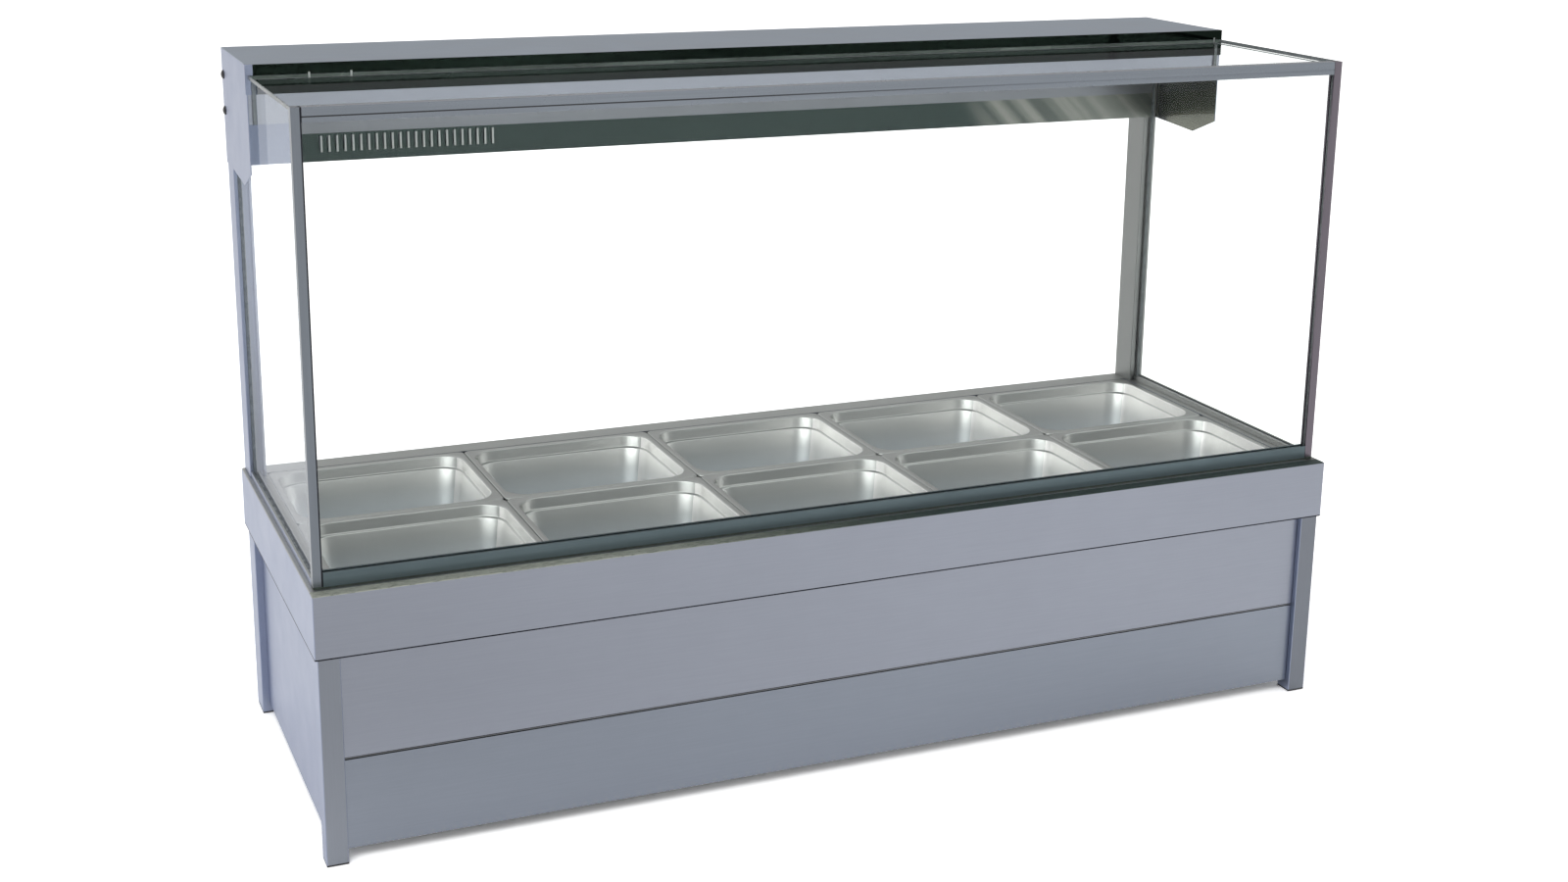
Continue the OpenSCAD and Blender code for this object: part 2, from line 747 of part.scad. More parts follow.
module vent_panel() {
    color([0.27, 0.32, 0.31]) difference() {
        block([-vent_x, vent_y, housing_z], [vent_x, post_y, hood_top_under]);
        for (i = [0 : vent_count - 1])
            translate([-leg_x + vent_start + i * vent_pitch, vent_y - cut, housing_z + vent_lift])
                cube([vent_w, sheet_t + 2 * cut, vent_h]);
    }
}

lip_top = fascia_z + sheet_t;
under_y0 = hood_y + sheet_t;
under_d = vent_y - under_y0;

// The bent reflector above the lamps
module lamp_reflector() {
    y1 = under_y0 + under_d * reflector_shares[0];
    y2 = under_y0 + under_d * reflector_shares[1];
    color([0.75, 0.76, 0.74]) along_x(-vent_x, vent_x) polygon([
        [under_y0, lip_top], [y1, reflector_top], [y2, reflector_top], [vent_y - sheet_t, lip_top],
        [vent_y - sheet_t, reflector_z], [vent_y, reflector_z], [vent_y, lip_top],
        [y2 + sheet_t, reflector_top + sheet_t], [y1 - sheet_t, reflector_top + sheet_t],
        [under_y0, lip_top + 2 * sheet_t]
    ]);
}

lamp_y = under_y0 + under_d / 2;
lamp_z = reflector_top - holder_h + lamp_dia;
function lamp_x(i) = (i - (lamp_count - 1) / 2) * lamp_pitch;

module heat_lamps() {
    color([0.9, 0.87, 0.8]) for (i = [0 : lamp_count - 1])
        translate([lamp_x(i) - lamp_len / 2, lamp_y, lamp_z]) rotate([0, 90, 0])
            cylinder(d = lamp_dia, h = lamp_len);
}

module lamp_holders() {
    color([0.88, 0.87, 0.84]) for (i = [0 : lamp_count - 1]) translate([lamp_x(i), 0, 0]) both_sides()
        block([lamp_len / 2, lamp_y - holder_w / 2, reflector_top - holder_h],
              [lamp_len / 2 + holder_w / 2, lamp_y + holder_w / 2, reflector_top]);
}

// Dome nuts near the rear edge of each end plate
module end_plate_domes() {
    color([0.08, 0.07, 0.08]) both_sides() for (drop = dome_drops)
        translate([leg_x, back_y - dome_back, overall_h - drop]) rotate([0, 90, 0]) intersection() {
            cylinder(d = dome_dia, h = dome_h);
            translate([0, 0, dome_h - dome_dia * dome_curve_share]) sphere(r = dome_dia * dome_curve_share);
        }
}

// The thermostat behind the recess, with its bush and shaft through the wall
module thermostat() {
    x = control_x(knob_share);
    color([0.85, 0.84, 0.8]) union() {
        block([x - body_w / 2, floor_in - body_d, recess_z - body_w / 2],
              [x + body_w / 2, floor_in, recess_z + body_w / 2]);
        rod_y(x, recess_z, floor_in - cut, floor_y, bush_dia);
        rod_y(x, recess_z, floor_in - cut, floor_y + shaft_len, shaft_dia);
    }
}

// Height of the knob's round base, and half sizes of its pointer bar, as shares of the knob
knob_base_share = 0.7;
pointer_shares = [0.1, 0.42];
pointer_x = knob_dia * pointer_shares[0];
pointer_z = knob_dia * pointer_shares[1];

// The thermostat knob, with a raised pointer bar
module thermostat_knob() {
    x = control_x(knob_share);
    y0 = floor_y + fit;
    color([0.1, 0.1, 0.11]) difference() {
        union() {
            rod_y(x, recess_z, y0, y0 + knob_h * knob_base_share, knob_dia);
            block([x - pointer_x, y0, recess_z - pointer_z],
                  [x + pointer_x, y0 + knob_h, recess_z + pointer_z]);
        }
        rod_y(x, recess_z, y0 - cut, floor_y + shaft_len + fit, shaft_dia + 2 * fit);
    }
}

rocker_y = floor_y - rocker_rise / 2;

// One switch body, open at the front for its rocker
module switch_housing(x) {
    difference() {
        union() {
            block([x - switch_w / 2, floor_y - switch_depth, recess_z - switch_h / 2],
                  [x + switch_w / 2, floor_y, recess_z + switch_h / 2]);
            block([x - switch_w / 2 - bezel_w, floor_y, recess_z - switch_h / 2 - bezel_w],
                  [x + switch_w / 2 + bezel_w, floor_y + bezel_t, recess_z + switch_h / 2 + bezel_w]);
        }
        block([x - rocker_w / 2 - fit, floor_y - switch_depth + bezel_w, recess_z - rocker_r - fit],
              [x + rocker_w / 2 + fit, floor_y + bezel_t + cut, recess_z + rocker_r + fit]);
        translate([x - rocker_w / 2 - pin_len - 2 * fit, rocker_y, recess_z]) rotate([0, 90, 0])
            cylinder(d = pin_dia + 2 * fit, h = rocker_w + 2 * pin_len + 4 * fit);
    }
}

module switch_housings() {
    color([0.07, 0.07, 0.08]) for (share = [power_share, lamp_switch_share]) switch_housing(control_x(share));
}

// A rocker on its pivot pins, with its two faces sloping to the middle
module rocker(x) {
    translate([x, rocker_y, recess_z]) rotate([rocker_tilt, 0, 0]) union() {
        translate([-rocker_w / 2, 0, 0]) rotate([90, 0, 90]) linear_extrude(rocker_w) intersection() {
            circle(r = rocker_r);
            polygon([
                [-rocker_rise, -rocker_r], [rocker_rise * 2, -rocker_r], [rocker_rise, 0],
                [rocker_rise * 2, rocker_r], [-rocker_rise, rocker_r]
            ]);
        }
        translate([-rocker_w / 2 - pin_len, 0, 0]) rotate([0, 90, 0])
            cylinder(d = pin_dia, h = rocker_w + 2 * pin_len);
    }
}

module power_switch_rocker() { color([0.12, 0.45, 0.16]) rocker(control_x(power_share)); }
module lamp_switch_rocker() { color([0.15, 0.15, 0.16]) rocker(control_x(lamp_switch_share)); }

module indicator_lamp() {
    x = control_x(pilot_share);
    color([0.75, 0.15, 0.08]) union() {
        rod_y(x, recess_z, floor_in - pilot_body, floor_y + sheet_t, pilot_dia);
        rod_y(x, recess_z, floor_y, floor_y + sheet_t, pilot_dia + 2 * sheet_t);
        translate([x, floor_y + sheet_t, recess_z]) intersection() {
            sphere(d = pilot_dia);
            rotate([-90, 0, 0]) cylinder(d = pilot_dia, h = pilot_dia);
        }
    }
}

module terminal_block() {
    x = control_x(gland_share);
    y1 = floor_in - 2 * gland_nut_t;
    color([0.8, 0.8, 0.76]) block([x - terminal_w / 2, y1 - terminal_d, tray_z + sheet_t],
                                  [x + terminal_w / 2, y1, tray_z + sheet_t + terminal_h]);
}

// The gland for the supply cord: a nut inside the recess wall and a clamping cap outside
module cable_gland() {
    x = control_x(gland_share);
    color([0.08, 0.08, 0.09]) difference() {
        union() {
            rod_y(x, recess_z, floor_in - gland_nut_t, floor_in, gland_dia);
            rod_y(x, recess_z, floor_in - gland_nut_t, floor_y + gland_len, gland_thread);
            rod_y(x, recess_z, floor_y, floor_y + gland_len * gland_shares[0], gland_dia);
            rod_y(x, recess_z, floor_y + gland_len * gland_shares[1], floor_y + gland_len, gland_cap);
        }
        rod_y(x, recess_z, floor_in - gland_nut_t - cut, floor_y + gland_len + cut, gland_bore);
    }
}

module panel_screws() {
    color([0.7, 0.7, 0.7]) for (i = [0 : screw_count - 1], z = screw_rows) {
        rod_y(screw_x(i), z, back_y, back_y + screw_head, screw_dia);
        rod_y(screw_x(i), z, back_y - shank_len, back_y + screw_head / 2, shank_dia);
    }
}

front_left_leg();
front_right_leg();
rear_left_post();
rear_right_post();
leg_feet();
frame_rails();
front_mid_rail();
top_band();
front_upper_panel();
front_lower_panel();
left_side_panel();
right_side_panel();
rear_control_panel();
bottom_tray();
well_tank();
insulation_slab();
heating_elements();
element_supports();
pan_support_rack();
front_pan_1();
front_pan_2();
front_pan_3();
front_pan_4();
front_pan_5();
rear_pan_1();
rear_pan_2();
rear_pan_3();
rear_pan_4();
rear_pan_5();
front_glass();
left_end_glass();
right_end_glass();
top_glass();
corner_trims();
front_top_rail();
front_glass_channel();
end_glass_channels();
glass_seals();
top_glass_ledge();
canopy_top();
canopy_front_strip();
canopy_fascia();
left_end_plate();
right_end_plate();
rear_housing();
vent_panel();
lamp_reflector();
heat_lamps();
lamp_holders();
end_plate_domes();
thermostat();
thermostat_knob();
switch_housings();
power_switch_rocker();
lamp_switch_rocker();
indicator_lamp();
terminal_block();
cable_gland();
panel_screws();
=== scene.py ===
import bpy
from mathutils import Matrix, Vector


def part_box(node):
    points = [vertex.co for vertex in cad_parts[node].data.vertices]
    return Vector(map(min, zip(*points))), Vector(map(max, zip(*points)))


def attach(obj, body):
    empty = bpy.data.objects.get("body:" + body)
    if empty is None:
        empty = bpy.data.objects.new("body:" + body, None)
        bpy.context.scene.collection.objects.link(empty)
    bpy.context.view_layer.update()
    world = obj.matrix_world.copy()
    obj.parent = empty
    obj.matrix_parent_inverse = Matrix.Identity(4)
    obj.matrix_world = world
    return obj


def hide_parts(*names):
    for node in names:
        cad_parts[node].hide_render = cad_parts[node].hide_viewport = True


bl_info = {
    "name": "Hot food bar",
    "version": (1, 0, 0),
    "blender": (4, 5, 0),
    "location": "View3D > Sidebar > Food bar",
    "description": "Dresses the packed hot food bar with its sheet metal, glass, pans, lamps and controls",
    "category": "Object",
}

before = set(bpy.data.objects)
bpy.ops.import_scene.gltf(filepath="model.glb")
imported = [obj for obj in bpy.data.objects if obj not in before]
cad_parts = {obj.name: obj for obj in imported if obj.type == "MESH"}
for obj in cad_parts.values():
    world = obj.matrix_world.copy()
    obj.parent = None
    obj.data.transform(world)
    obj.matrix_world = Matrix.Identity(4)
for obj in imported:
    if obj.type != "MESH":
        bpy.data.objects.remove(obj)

import math

import bmesh
import bpy
from bpy.props import FloatProperty, FloatVectorProperty, IntProperty, PointerProperty
from mathutils import Matrix, Vector

CABINET = "cabinet"
PAN_COLUMNS = 5
PAN_ROWS = ("front", "rear")
PAN_COLLECTION = "lit_by_corner_lamp"
MM = 0.001
CLOSE = 0.01 * MM
FLAT_ANGLE = math.radians(1.0)
FOLD_ANGLE = math.radians(30.0)
SMOOTH_ANGLE = math.radians(35.0)


# Values that a user would change


class SteelSettings(bpy.types.PropertyGroup):
    """Colours and finish of the sheet metal"""

    satin: FloatVectorProperty(
        name="Satin steel", description="Colour of the satin outer sheets", default=(0.294, 0.312, 0.362),
        subtype="COLOR", min=0, max=1)
    frame_rail: FloatVectorProperty(
        name="Mill steel", description="Colour of the hidden rails and trays", default=(0.30, 0.31, 0.32),
        subtype="COLOR", min=0, max=1)
    drawn: FloatVectorProperty(
        name="Drawn steel", description="Colour of the pans", default=(0.54, 0.548, 0.535), subtype="COLOR",
        min=0, max=1)
    trim: FloatVectorProperty(
        name="Satin trim", description="Colour of the aluminium trims round the glass",
        default=(0.205, 0.227, 0.256), subtype="COLOR", min=0, max=1)
    channel: FloatVectorProperty(
        name="Channel", description="Colour of the slate channel under the front glass",
        default=(0.126, 0.165, 0.180), subtype="COLOR", min=0, max=1)
    # The polished strip is painted near black, as the dark reflection it shows
    strip: FloatVectorProperty(
        name="Polished strip", description="Colour that the hood's polished strip reads as",
        default=(0.012, 0.019, 0.015), subtype="COLOR", min=0, max=1)
    vent: FloatVectorProperty(
        name="Vent panel", description="Colour of the vented panel", default=(0.046, 0.064, 0.060),
        subtype="COLOR", min=0, max=1)
    side: FloatVectorProperty(
        name="Side steel", description="Colour of the satin sheets on the two ends",
        default=(0.305, 0.342, 0.455), subtype="COLOR", min=0, max=1)
    leg: FloatVectorProperty(
        name="Leg steel", description="Colour of the fronts of the front legs", default=(0.248, 0.266, 0.302),
        subtype="COLOR", min=0, max=1)
    roughness: FloatProperty(
        name="Satin roughness", description="Roughness of the satin sheets", default=0.36, min=0, max=1,
        subtype="FACTOR")
    fold_radius: FloatProperty(
        name="Fold radius", description="Outer radius of the folds in the sheets", default=2.4 * MM, min=0,
        unit="LENGTH")
    edge_radius: FloatProperty(
        name="Edge radius", description="Rounding of the cut edges of sheets and bars", default=0.5 * MM,
        min=0, unit="LENGTH")


class PanSettings(bpy.types.PropertyGroup):
    """Sizes of the lift-out pans"""

    wall: FloatProperty(
        name="Wall", description="Thickness of a pan's sheet", default=0.9 * MM, min=0.0004, unit="LENGTH")
    rim_width: FloatProperty(
        name="Rim width", description="Width of the flat rim", default=8.0 * MM, min=0.004, unit="LENGTH")
    mouth_radius: FloatProperty(
        name="Mouth radius", description="Corner radius of the mouth", default=38.0 * MM, min=0.01,
        unit="LENGTH")
    shoulder_drop: FloatProperty(
        name="Shoulder depth", description="Depth of the stacking shoulder", default=20.0 * MM, min=0.005,
        unit="LENGTH")
    shoulder_step: FloatProperty(
        name="Shoulder step", description="Inward step of the stacking shoulder", default=3.6 * MM, min=0.0,
        unit="LENGTH")
    taper: FloatProperty(
        name="Taper", description="Inward lean of each wall between the shoulder and the floor",
        default=8.0 * MM, min=0.0, unit="LENGTH")
    floor_radius: FloatProperty(
        name="Floor radius", description="Radius between the walls and the floor", default=12.0 * MM,
        min=0.002, unit="LENGTH")
    corner_steps: IntProperty(
        name="Corner steps", description="Faces round each corner", default=8, min=2, max=16)


class GlassSettings(bpy.types.PropertyGroup):
    """Colour and edges of the glass"""

    tint: FloatVectorProperty(
        name="Tint", description="Colour of the clear glass", default=(0.985, 0.995, 0.990), subtype="COLOR",
        min=0, max=1)
    edge_tint: FloatVectorProperty(
        name="Edge tint", description="Colour of the ground edges", default=(0.150, 0.168, 0.172),
        subtype="COLOR", min=0, max=1)
    arris: FloatProperty(
        name="Arris", description="Width of the ground arris along each edge", default=0.7 * MM, min=0.0,
        unit="LENGTH")


class VentSettings(bpy.types.PropertyGroup):
    """The pressed lips of the vent panel"""

    slot_start: FloatProperty(
        name="First slot", description="From the panel's left end to the first slot's middle",
        default=123.9 * MM, min=0.0, unit="LENGTH")
    slot_pitch: FloatProperty(
        name="Slot pitch", description="From one slot to the next", default=12.6 * MM, min=0.004,
        unit="LENGTH")
    slot_count: IntProperty(name="Slots", description="Number of slots", default=23, min=1, max=60)
    slot_low: FloatProperty(
        name="Slot foot", description="Height of the slots' lower ends", default=937 * MM, unit="LENGTH")
    slot_high: FloatProperty(
        name="Slot top", description="Height of the slots' upper ends", default=961 * MM, unit="LENGTH")
    lip_width: FloatProperty(
        name="Lip width", description="Width of the pressed lip beside each slot", default=4.2 * MM,
        min=0.001, unit="LENGTH")


class StageSettings(bpy.types.PropertyGroup):
    """Camera, lamps and floor"""

    lens: FloatProperty(
        name="Lens", description="Focal length on a 36 mm sensor, in millimetres", default=47.396, min=1.0,
        unit="CAMERA")
    yaw: FloatProperty(
        name="Yaw", description="Turn of the camera to the right of straight ahead",
        default=math.radians(23.171), unit="ROTATION")
    pitch: FloatProperty(
        name="Pitch", description="Downward tilt of the camera", default=math.radians(14.449),
        unit="ROTATION")
    roll: FloatProperty(
        name="Roll", description="Roll of the camera", default=math.radians(0.697), unit="ROTATION")
    rise: FloatProperty(
        name="Rise", description="Vertical lens shift, as a share of the picture's width", default=-0.065)
    place: FloatVectorProperty(
        name="Camera place", description="Where the camera stands", default=(-1.2990, -3.0001, 1.4711),
        size=3, subtype="XYZ")
    floor_tone: FloatProperty(
        name="Floor tone", description="Grey level of the floor", default=0.86, min=0, max=1,
        subtype="FACTOR")
    world_level: FloatProperty(
        name="World level", description="Strength of the studio's soft light", default=0.80, min=0)
    wall_level: FloatProperty(
        name="Wall level", description="What metal sees low down behind the bar, where 1 is white",
        default=0.42, min=0, max=1, subtype="FACTOR")
    dim_floor: FloatProperty(
        name="Dim floor", description="What metal sees of the floor in front of the left end", default=0.78,
        min=0, max=1.3)
    glow_power: FloatProperty(
        name="Glow power", description="Power of the soft lamp that the pans' corners mirror", default=125.0,
        min=0, unit="POWER")
    key_power: FloatProperty(
        name="Key power", description="Power of the large soft lamp", default=60.0, min=0, unit="POWER")


def settings():
    return bpy.context.scene.food_bar


# Hand work shared by the operators


def to_object_mode():
    if bpy.context.object and bpy.context.object.mode != "OBJECT":
        bpy.ops.object.mode_set(mode="OBJECT")


def clear_selection():
    """Deselects everything, also what the frame's import left selected."""
    to_object_mode()
    for other in list(bpy.context.selected_objects):
        other.select_set(False)


def make_active(piece):
    clear_selection()
    piece.select_set(True)
    bpy.context.view_layer.objects.active = piece


def into_edit(piece, mode, select="DESELECT"):
    """Opens a piece in edit mode. Mode is VERT, EDGE or FACE, and select says if all of it is selected."""
    make_active(piece)
    bpy.ops.object.mode_set(mode="EDIT")
    bpy.ops.mesh.select_mode(type=mode)
    bpy.ops.mesh.select_all(action=select)


def pick(piece, mode, test):
    """Opens a piece in edit mode, selects the edges or faces for which test is true, and counts them."""
    into_edit(piece, mode)
    mesh = bmesh.from_edit_mesh(piece.data)
    mesh.normal_update()
    found = [item for item in (mesh.edges if mode == "EDGE" else mesh.faces) if test(item)]
    for item in found:
        item.select_set(True)
    mesh.select_flush_mode()
    bmesh.update_edit_mesh(piece.data)
    return len(found)


def middle(edge):
    return (edge.verts[0].co + edge.verts[1].co) / 2


def is_fold(edge):
    return len(edge.link_faces) == 2 and edge.calc_face_angle(0.0) > FOLD_ANGLE


def is_level(edge):
    return abs(edge.verts[0].co.z - edge.verts[1].co.z) < CLOSE


def apply_modifier(piece, kind, **values):
    make_active(piece)
    modifier = piece.modifiers.new(kind.title(), kind)
    for name, value in values.items():
        setattr(modifier, name, value)
    bpy.ops.object.modifier_apply(modifier=modifier.name)


def smooth(piece, weighted=True):
    """Smooth shading with crisp flats."""
    make_active(piece)
    bpy.ops.object.shade_smooth_by_angle(angle=SMOOTH_ANGLE)
    if weighted:
        apply_modifier(piece, "WEIGHTED_NORMAL", keep_sharp=True, weight=80)


def started(name, scale=(1, 1, 1)):
    """Names the new primitive, and puts its size and place into its mesh, so that it sits at the origin."""
    piece = bpy.context.object
    piece.name = piece.data.name = name
    piece.scale = scale
    make_active(piece)
    bpy.ops.object.transform_apply(location=True, rotation=True, scale=True)
    return piece


def add_block(name, low, high):
    """A block between two corners, as the start of a piece."""
    clear_selection()
    low, high = Vector(low), Vector(high)
    bpy.ops.mesh.primitive_cube_add(size=1, location=(low + high) / 2)
    return started(name, high - low)


def copy_piece(source, name, place):
    """A copy with its own mesh, which the matrix place moves."""
    piece = source.copy()
    piece.data = source.data.copy()
    piece.name = piece.data.name = name
    bpy.context.scene.collection.objects.link(piece)
    piece.data.transform(place)
    return piece


def join_pieces(pieces, name):
    make_active(pieces[0])
    for other in pieces[1:]:
        other.select_set(True)
    bpy.ops.object.join()
    piece = bpy.context.object
    piece.name = piece.data.name = name
    return piece


def round_edges(piece, offset, test, segments=2):
    """Bevels the edges that test picks."""
    if pick(piece, "EDGE", test):
        bpy.ops.mesh.bevel(
            offset=offset, offset_type="OFFSET", segments=segments, affect="EDGES", clamp_overlap=True)
    to_object_mode()


def traced(node, name):
    """A clean copy of a CAD node: merged, with its flat faces joined up."""
    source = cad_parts[node]
    piece = bpy.data.objects.new(name, source.data.copy())
    piece.data.name = name
    piece.data.materials.clear()
    bpy.context.scene.collection.objects.link(piece)
    into_edit(piece, "VERT", "SELECT")
    bpy.ops.mesh.remove_doubles(threshold=CLOSE)
    bpy.ops.mesh.customdata_custom_splitnormals_clear()
    bpy.ops.mesh.dissolve_limited(angle_limit=FLAT_ANGLE)
    to_object_mode()
    return piece


def add_finish(piece, name):
    """Gives a piece one more finish, and returns its number on the piece."""
    piece.data.materials.append(finish_named(name))
    return len(piece.data.materials) - 1


def finish_piece(piece, body, slot, finish, *nodes):
    piece.data.materials.clear()
    add_finish(piece, finish)
    if nodes:
        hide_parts(*nodes)
    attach(piece, body)


def dress(node, finish):
    """Gives a CAD node whose shape is right its finish."""
    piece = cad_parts[node]
    piece.data.materials.clear()
    add_finish(piece, finish)


# Finishes


def new_tree(name):
    """A new material, its node tree and its shader."""
    material = bpy.data.materials.new(name)
    material.use_nodes = True
    return material, material.node_tree, material.node_tree.nodes["Principled BSDF"]


def set_inputs(tree, node, inputs):
    """Gives a node's sockets, by name or number, a value or another node's output each."""
    for socket, value in inputs.items():
        if isinstance(value, bpy.types.NodeSocket):
            tree.links.new(value, node.inputs[socket])
        else:
            node.inputs[socket].default_value = value


def add_node(tree, kind, output, inputs=(), **values):
    """One output of a new node, with its inputs set."""
    node = tree.nodes.new("ShaderNode" + kind)
    for name, value in values.items():
        setattr(node, name, value)
    set_inputs(tree, node, dict(inputs))
    return node.outputs[output]


def coordinate(tree, axis, kind="Object"):
    """X, Y or Z in the Object coordinates, or in those of another kind."""
    return add_node(tree, "SeparateXYZ", axis, {"Vector": add_node(tree, "TexCoord", kind)})


def noise(tree, scale, detail=3.0, roughness=0.5, stretch=(1, 1, 1), vector=None):
    """A noise value on Object coordinates, or on the vector given; scale is in waves to the metre."""
    if vector is None:
        place = add_node(tree, "TexCoord", "Object")
        vector = add_node(tree, "Mapping", "Vector", {"Vector": place, "Scale": stretch})
    return add_node(tree, "TexNoise", "Fac", {
        "Vector": vector, "Scale": scale, "Detail": detail, "Roughness": roughness})


def ranged(tree, value, low, high, from_low=0.3, from_high=0.7):
    """A value stretched between low and high."""
    return add_node(tree, "MapRange", "Result", {
        "Value": value, "From Min": from_low, "From Max": from_high, "To Min": low, "To Max": high})


def math_node(tree, operation, *inputs, clamp=False):
    """A math node on sockets or numbers."""
    return add_node(tree, "Math", "Value", enumerate(inputs), operation=operation, use_clamp=clamp)


def product(tree, *inputs):
    return math_node(tree, "MULTIPLY", *inputs)


def smooth_step(tree, value, start, end):
    """From 0 at start to 1 at end, where start may be the higher of the two."""
    step = {"Value": value, "From Min": start, "From Max": end}
    return add_node(tree, "MapRange", "Result", step, interpolation_type="SMOOTHSTEP")


def background(tree, strength):
    return add_node(tree, "Background", "Background", {"Color": (1, 1, 1, 1), "Strength": strength})


def mixed(tree, share, first, second):
    return add_node(tree, "MixShader", "Shader", {"Fac": share, 1: first, 2: second})


def light_path(tree, kind):
    return add_node(tree, "LightPath", f"Is {kind} Ray")


def tinted(tree, share, dark, light):
    """A colour that goes from dark to light as share goes from 0 to 1. Each is a colour or a socket."""
    ends = [end if isinstance(end, bpy.types.NodeSocket) else (*end, 1) for end in (dark, light)]
    return add_node(tree, "Mix", "Result", {"Factor": share, "A": ends[0], "B": ends[1]}, data_type="RGBA")


def placed(tree, axis, start, end):
    """From 0 to 1 between two places along an axis of the Object coordinates."""
    return smooth_step(tree, coordinate(tree, axis), start, end)


def scaled(colour, share):
    return tuple(min(1.0, part * share) for part in colour)


def bumped(tree, value, strength, depth):
    return add_node(tree, "Bump", "Normal", {"Height": value, "Strength": strength, "Distance": depth})


def set_surface(tree, surface):
    tree.links.new(surface, tree.nodes["Material Output"].inputs["Surface"])


def grained_metal(name, colour, grain, roughness, grain_share=0.045, cloud_share=0.05, smudge=0.03, bump=0.04,
                  fade=None):
    """Rolled sheet with a fine grain, soft clouds of tone and faint hand marks. Grain is in waves to the
    metre along each axis, so the smallest number is the way the grain runs. Fade gives an axis, two places on
    it and the colour that the metal goes over to between them."""
    material, tree, shader = new_tree(name)
    lines = noise(tree, 1.0, 2.0, 0.55, grain)
    clouds = noise(tree, 1.7, 1.0)
    tone = product(
        tree, ranged(tree, lines, 1 - grain_share, 1.0), ranged(tree, clouds, 1 - cloud_share, 1.0))
    darkest = (1 - grain_share) * (1 - cloud_share)
    ends = scaled(colour, darkest), scaled(colour, 1 + 0.3 * (1 - darkest))
    base = tinted(tree, ranged(tree, tone, 0.0, 1.0, darkest, 1.0), *ends)
    if fade:
        *run, other = fade
        base = tinted(tree, placed(tree, *run), base, other)
    marks = ranged(tree, noise(tree, 17.0, 4.0, 0.6), roughness - smudge, roughness + smudge)
    set_inputs(tree, shader, {
        "Base Color": base, "Metallic": 1.0, "Roughness": marks,
        "Normal": bumped(tree, lines, bump, 0.12 * MM)})
    return material


def plain_finish(name, dark, light, scale, roughness, bump=0.15, clear=0.0, metallic=0.0, depth=0.3 * MM):
    """A moulded, cast or fired surface with a fine mottle. Clear is the share of light it lets through."""
    material, tree, shader = new_tree(name)
    mottle = noise(tree, scale, 4.0)
    set_inputs(tree, shader, {
        "Base Color": tinted(tree, ranged(tree, mottle, 0.0, 1.0), dark, light), "Metallic": metallic,
        "Roughness": ranged(tree, mottle, roughness - 0.06, roughness + 0.06), "Transmission Weight": clear,
        "Normal": bumped(tree, mottle, bump, depth)})
    return material


def worn_and_shaded_edge(name):
    """The fold along the band's top: rubbed pale with specks of dirt, and darkened to the right by painted
    shade.
    """
    material, tree, shader = new_tree(name)
    specks = noise(tree, 1.0, 5.0, 0.7, (90, 420, 420))
    # Painted shade: the fold goes dark green towards the right
    shade_to_right = placed(tree, "X", -0.45, 0.20)
    pale = math_node(tree, "SUBTRACT", ranged(tree, specks, 0.0, 1.0, 0.34, 0.50), shade_to_right, clamp=True)
    clean = tinted(tree, pale, (0.13, 0.155, 0.12), (0.36, 0.375, 0.33))
    set_inputs(tree, shader, {
        "Base Color": tinted(tree, shade_to_right, clean, (0.035, 0.052, 0.048)), "Metallic": 0.5, "Roughness": 0.6,
        "Normal": bumped(tree, specks, 0.2, 0.3 * MM)})
    return material


def vent_with_painted_streaks(name, colour):
    """The polished vent panel: dark, with a painted reflection in pale slanting streaks towards its right end.
    """
    material, tree, shader = new_tree(name)
    across, up = coordinate(tree, "X"), coordinate(tree, "Z")
    slant = math_node(tree, "ADD", across, product(tree, up, 0.55))
    lean = add_node(tree, "CombineXYZ", "Vector", {"X": math_node(tree, "ADD", across, up)})
    # Painted reflection: pale slanting streaks towards the right end
    reflection_streaks = ranged(tree, noise(tree, 19.0, 2.0, vector=lean), 0.30, 1.0, 0.38, 0.60)
    pale = product(tree, smooth_step(tree, slant, 0.95, 1.04), reflection_streaks)
    grain = ranged(tree, noise(tree, 1.0, 2.0, 0.5, (8, 420, 420)), 0.0, 0.04)
    tone = tinted(tree, math_node(tree, "ADD", pale, grain, clamp=True), colour, (0.270, 0.280, 0.255))
    set_inputs(tree, shader, {"Base Color": tone, "Metallic": 1.0, "Roughness": 0.34})
    return material


# The share of light that glass mirrors seen face on
FACE_ON = 0.04


def glass_finish(name, tint, gloss):
    """A clear pane with a faint film of dust. It mirrors more at a glancing angle, by the share gloss, and
    lets lamps through."""
    material, tree, shader = new_tree(name)
    cool = (tint[0] * 0.84, tint[1] * 0.87, tint[2])
    film = tinted(tree, noise(tree, 6.0), scaled(cool, 0.93), cool)
    set_inputs(tree, shader, {"Base Color": film, "Metallic": 1.0, "Roughness": 0.02})
    glancing = math_node(tree, "POWER", add_node(tree, "LayerWeight", "Facing", {"Blend": 0.5}), 5.0)
    mirror = math_node(tree, "MULTIPLY_ADD", glancing, (1 - FACE_ON) * gloss, FACE_ON * gloss)
    unlit = math_node(tree, "SUBTRACT", 1.0, light_path(tree, "Shadow"))
    through = add_node(tree, "BsdfTransparent", "BSDF", {"Color": (*tint, 1)})
    set_surface(tree, mixed(tree, product(tree, mirror, unlit), through, shader.outputs["BSDF"]))
    return material


# Grains, in waves to the metre along X, Y and Z, of satin sheet each way, bars each way and drawn sheet
LONG, DEEP, TALL = (14, 620, 620), (620, 14, 620), (620, 620, 14)
BAR_LONG, BAR_TALL, DRAWN = (4, 240, 240), (240, 240, 4), (5, 90, 90)


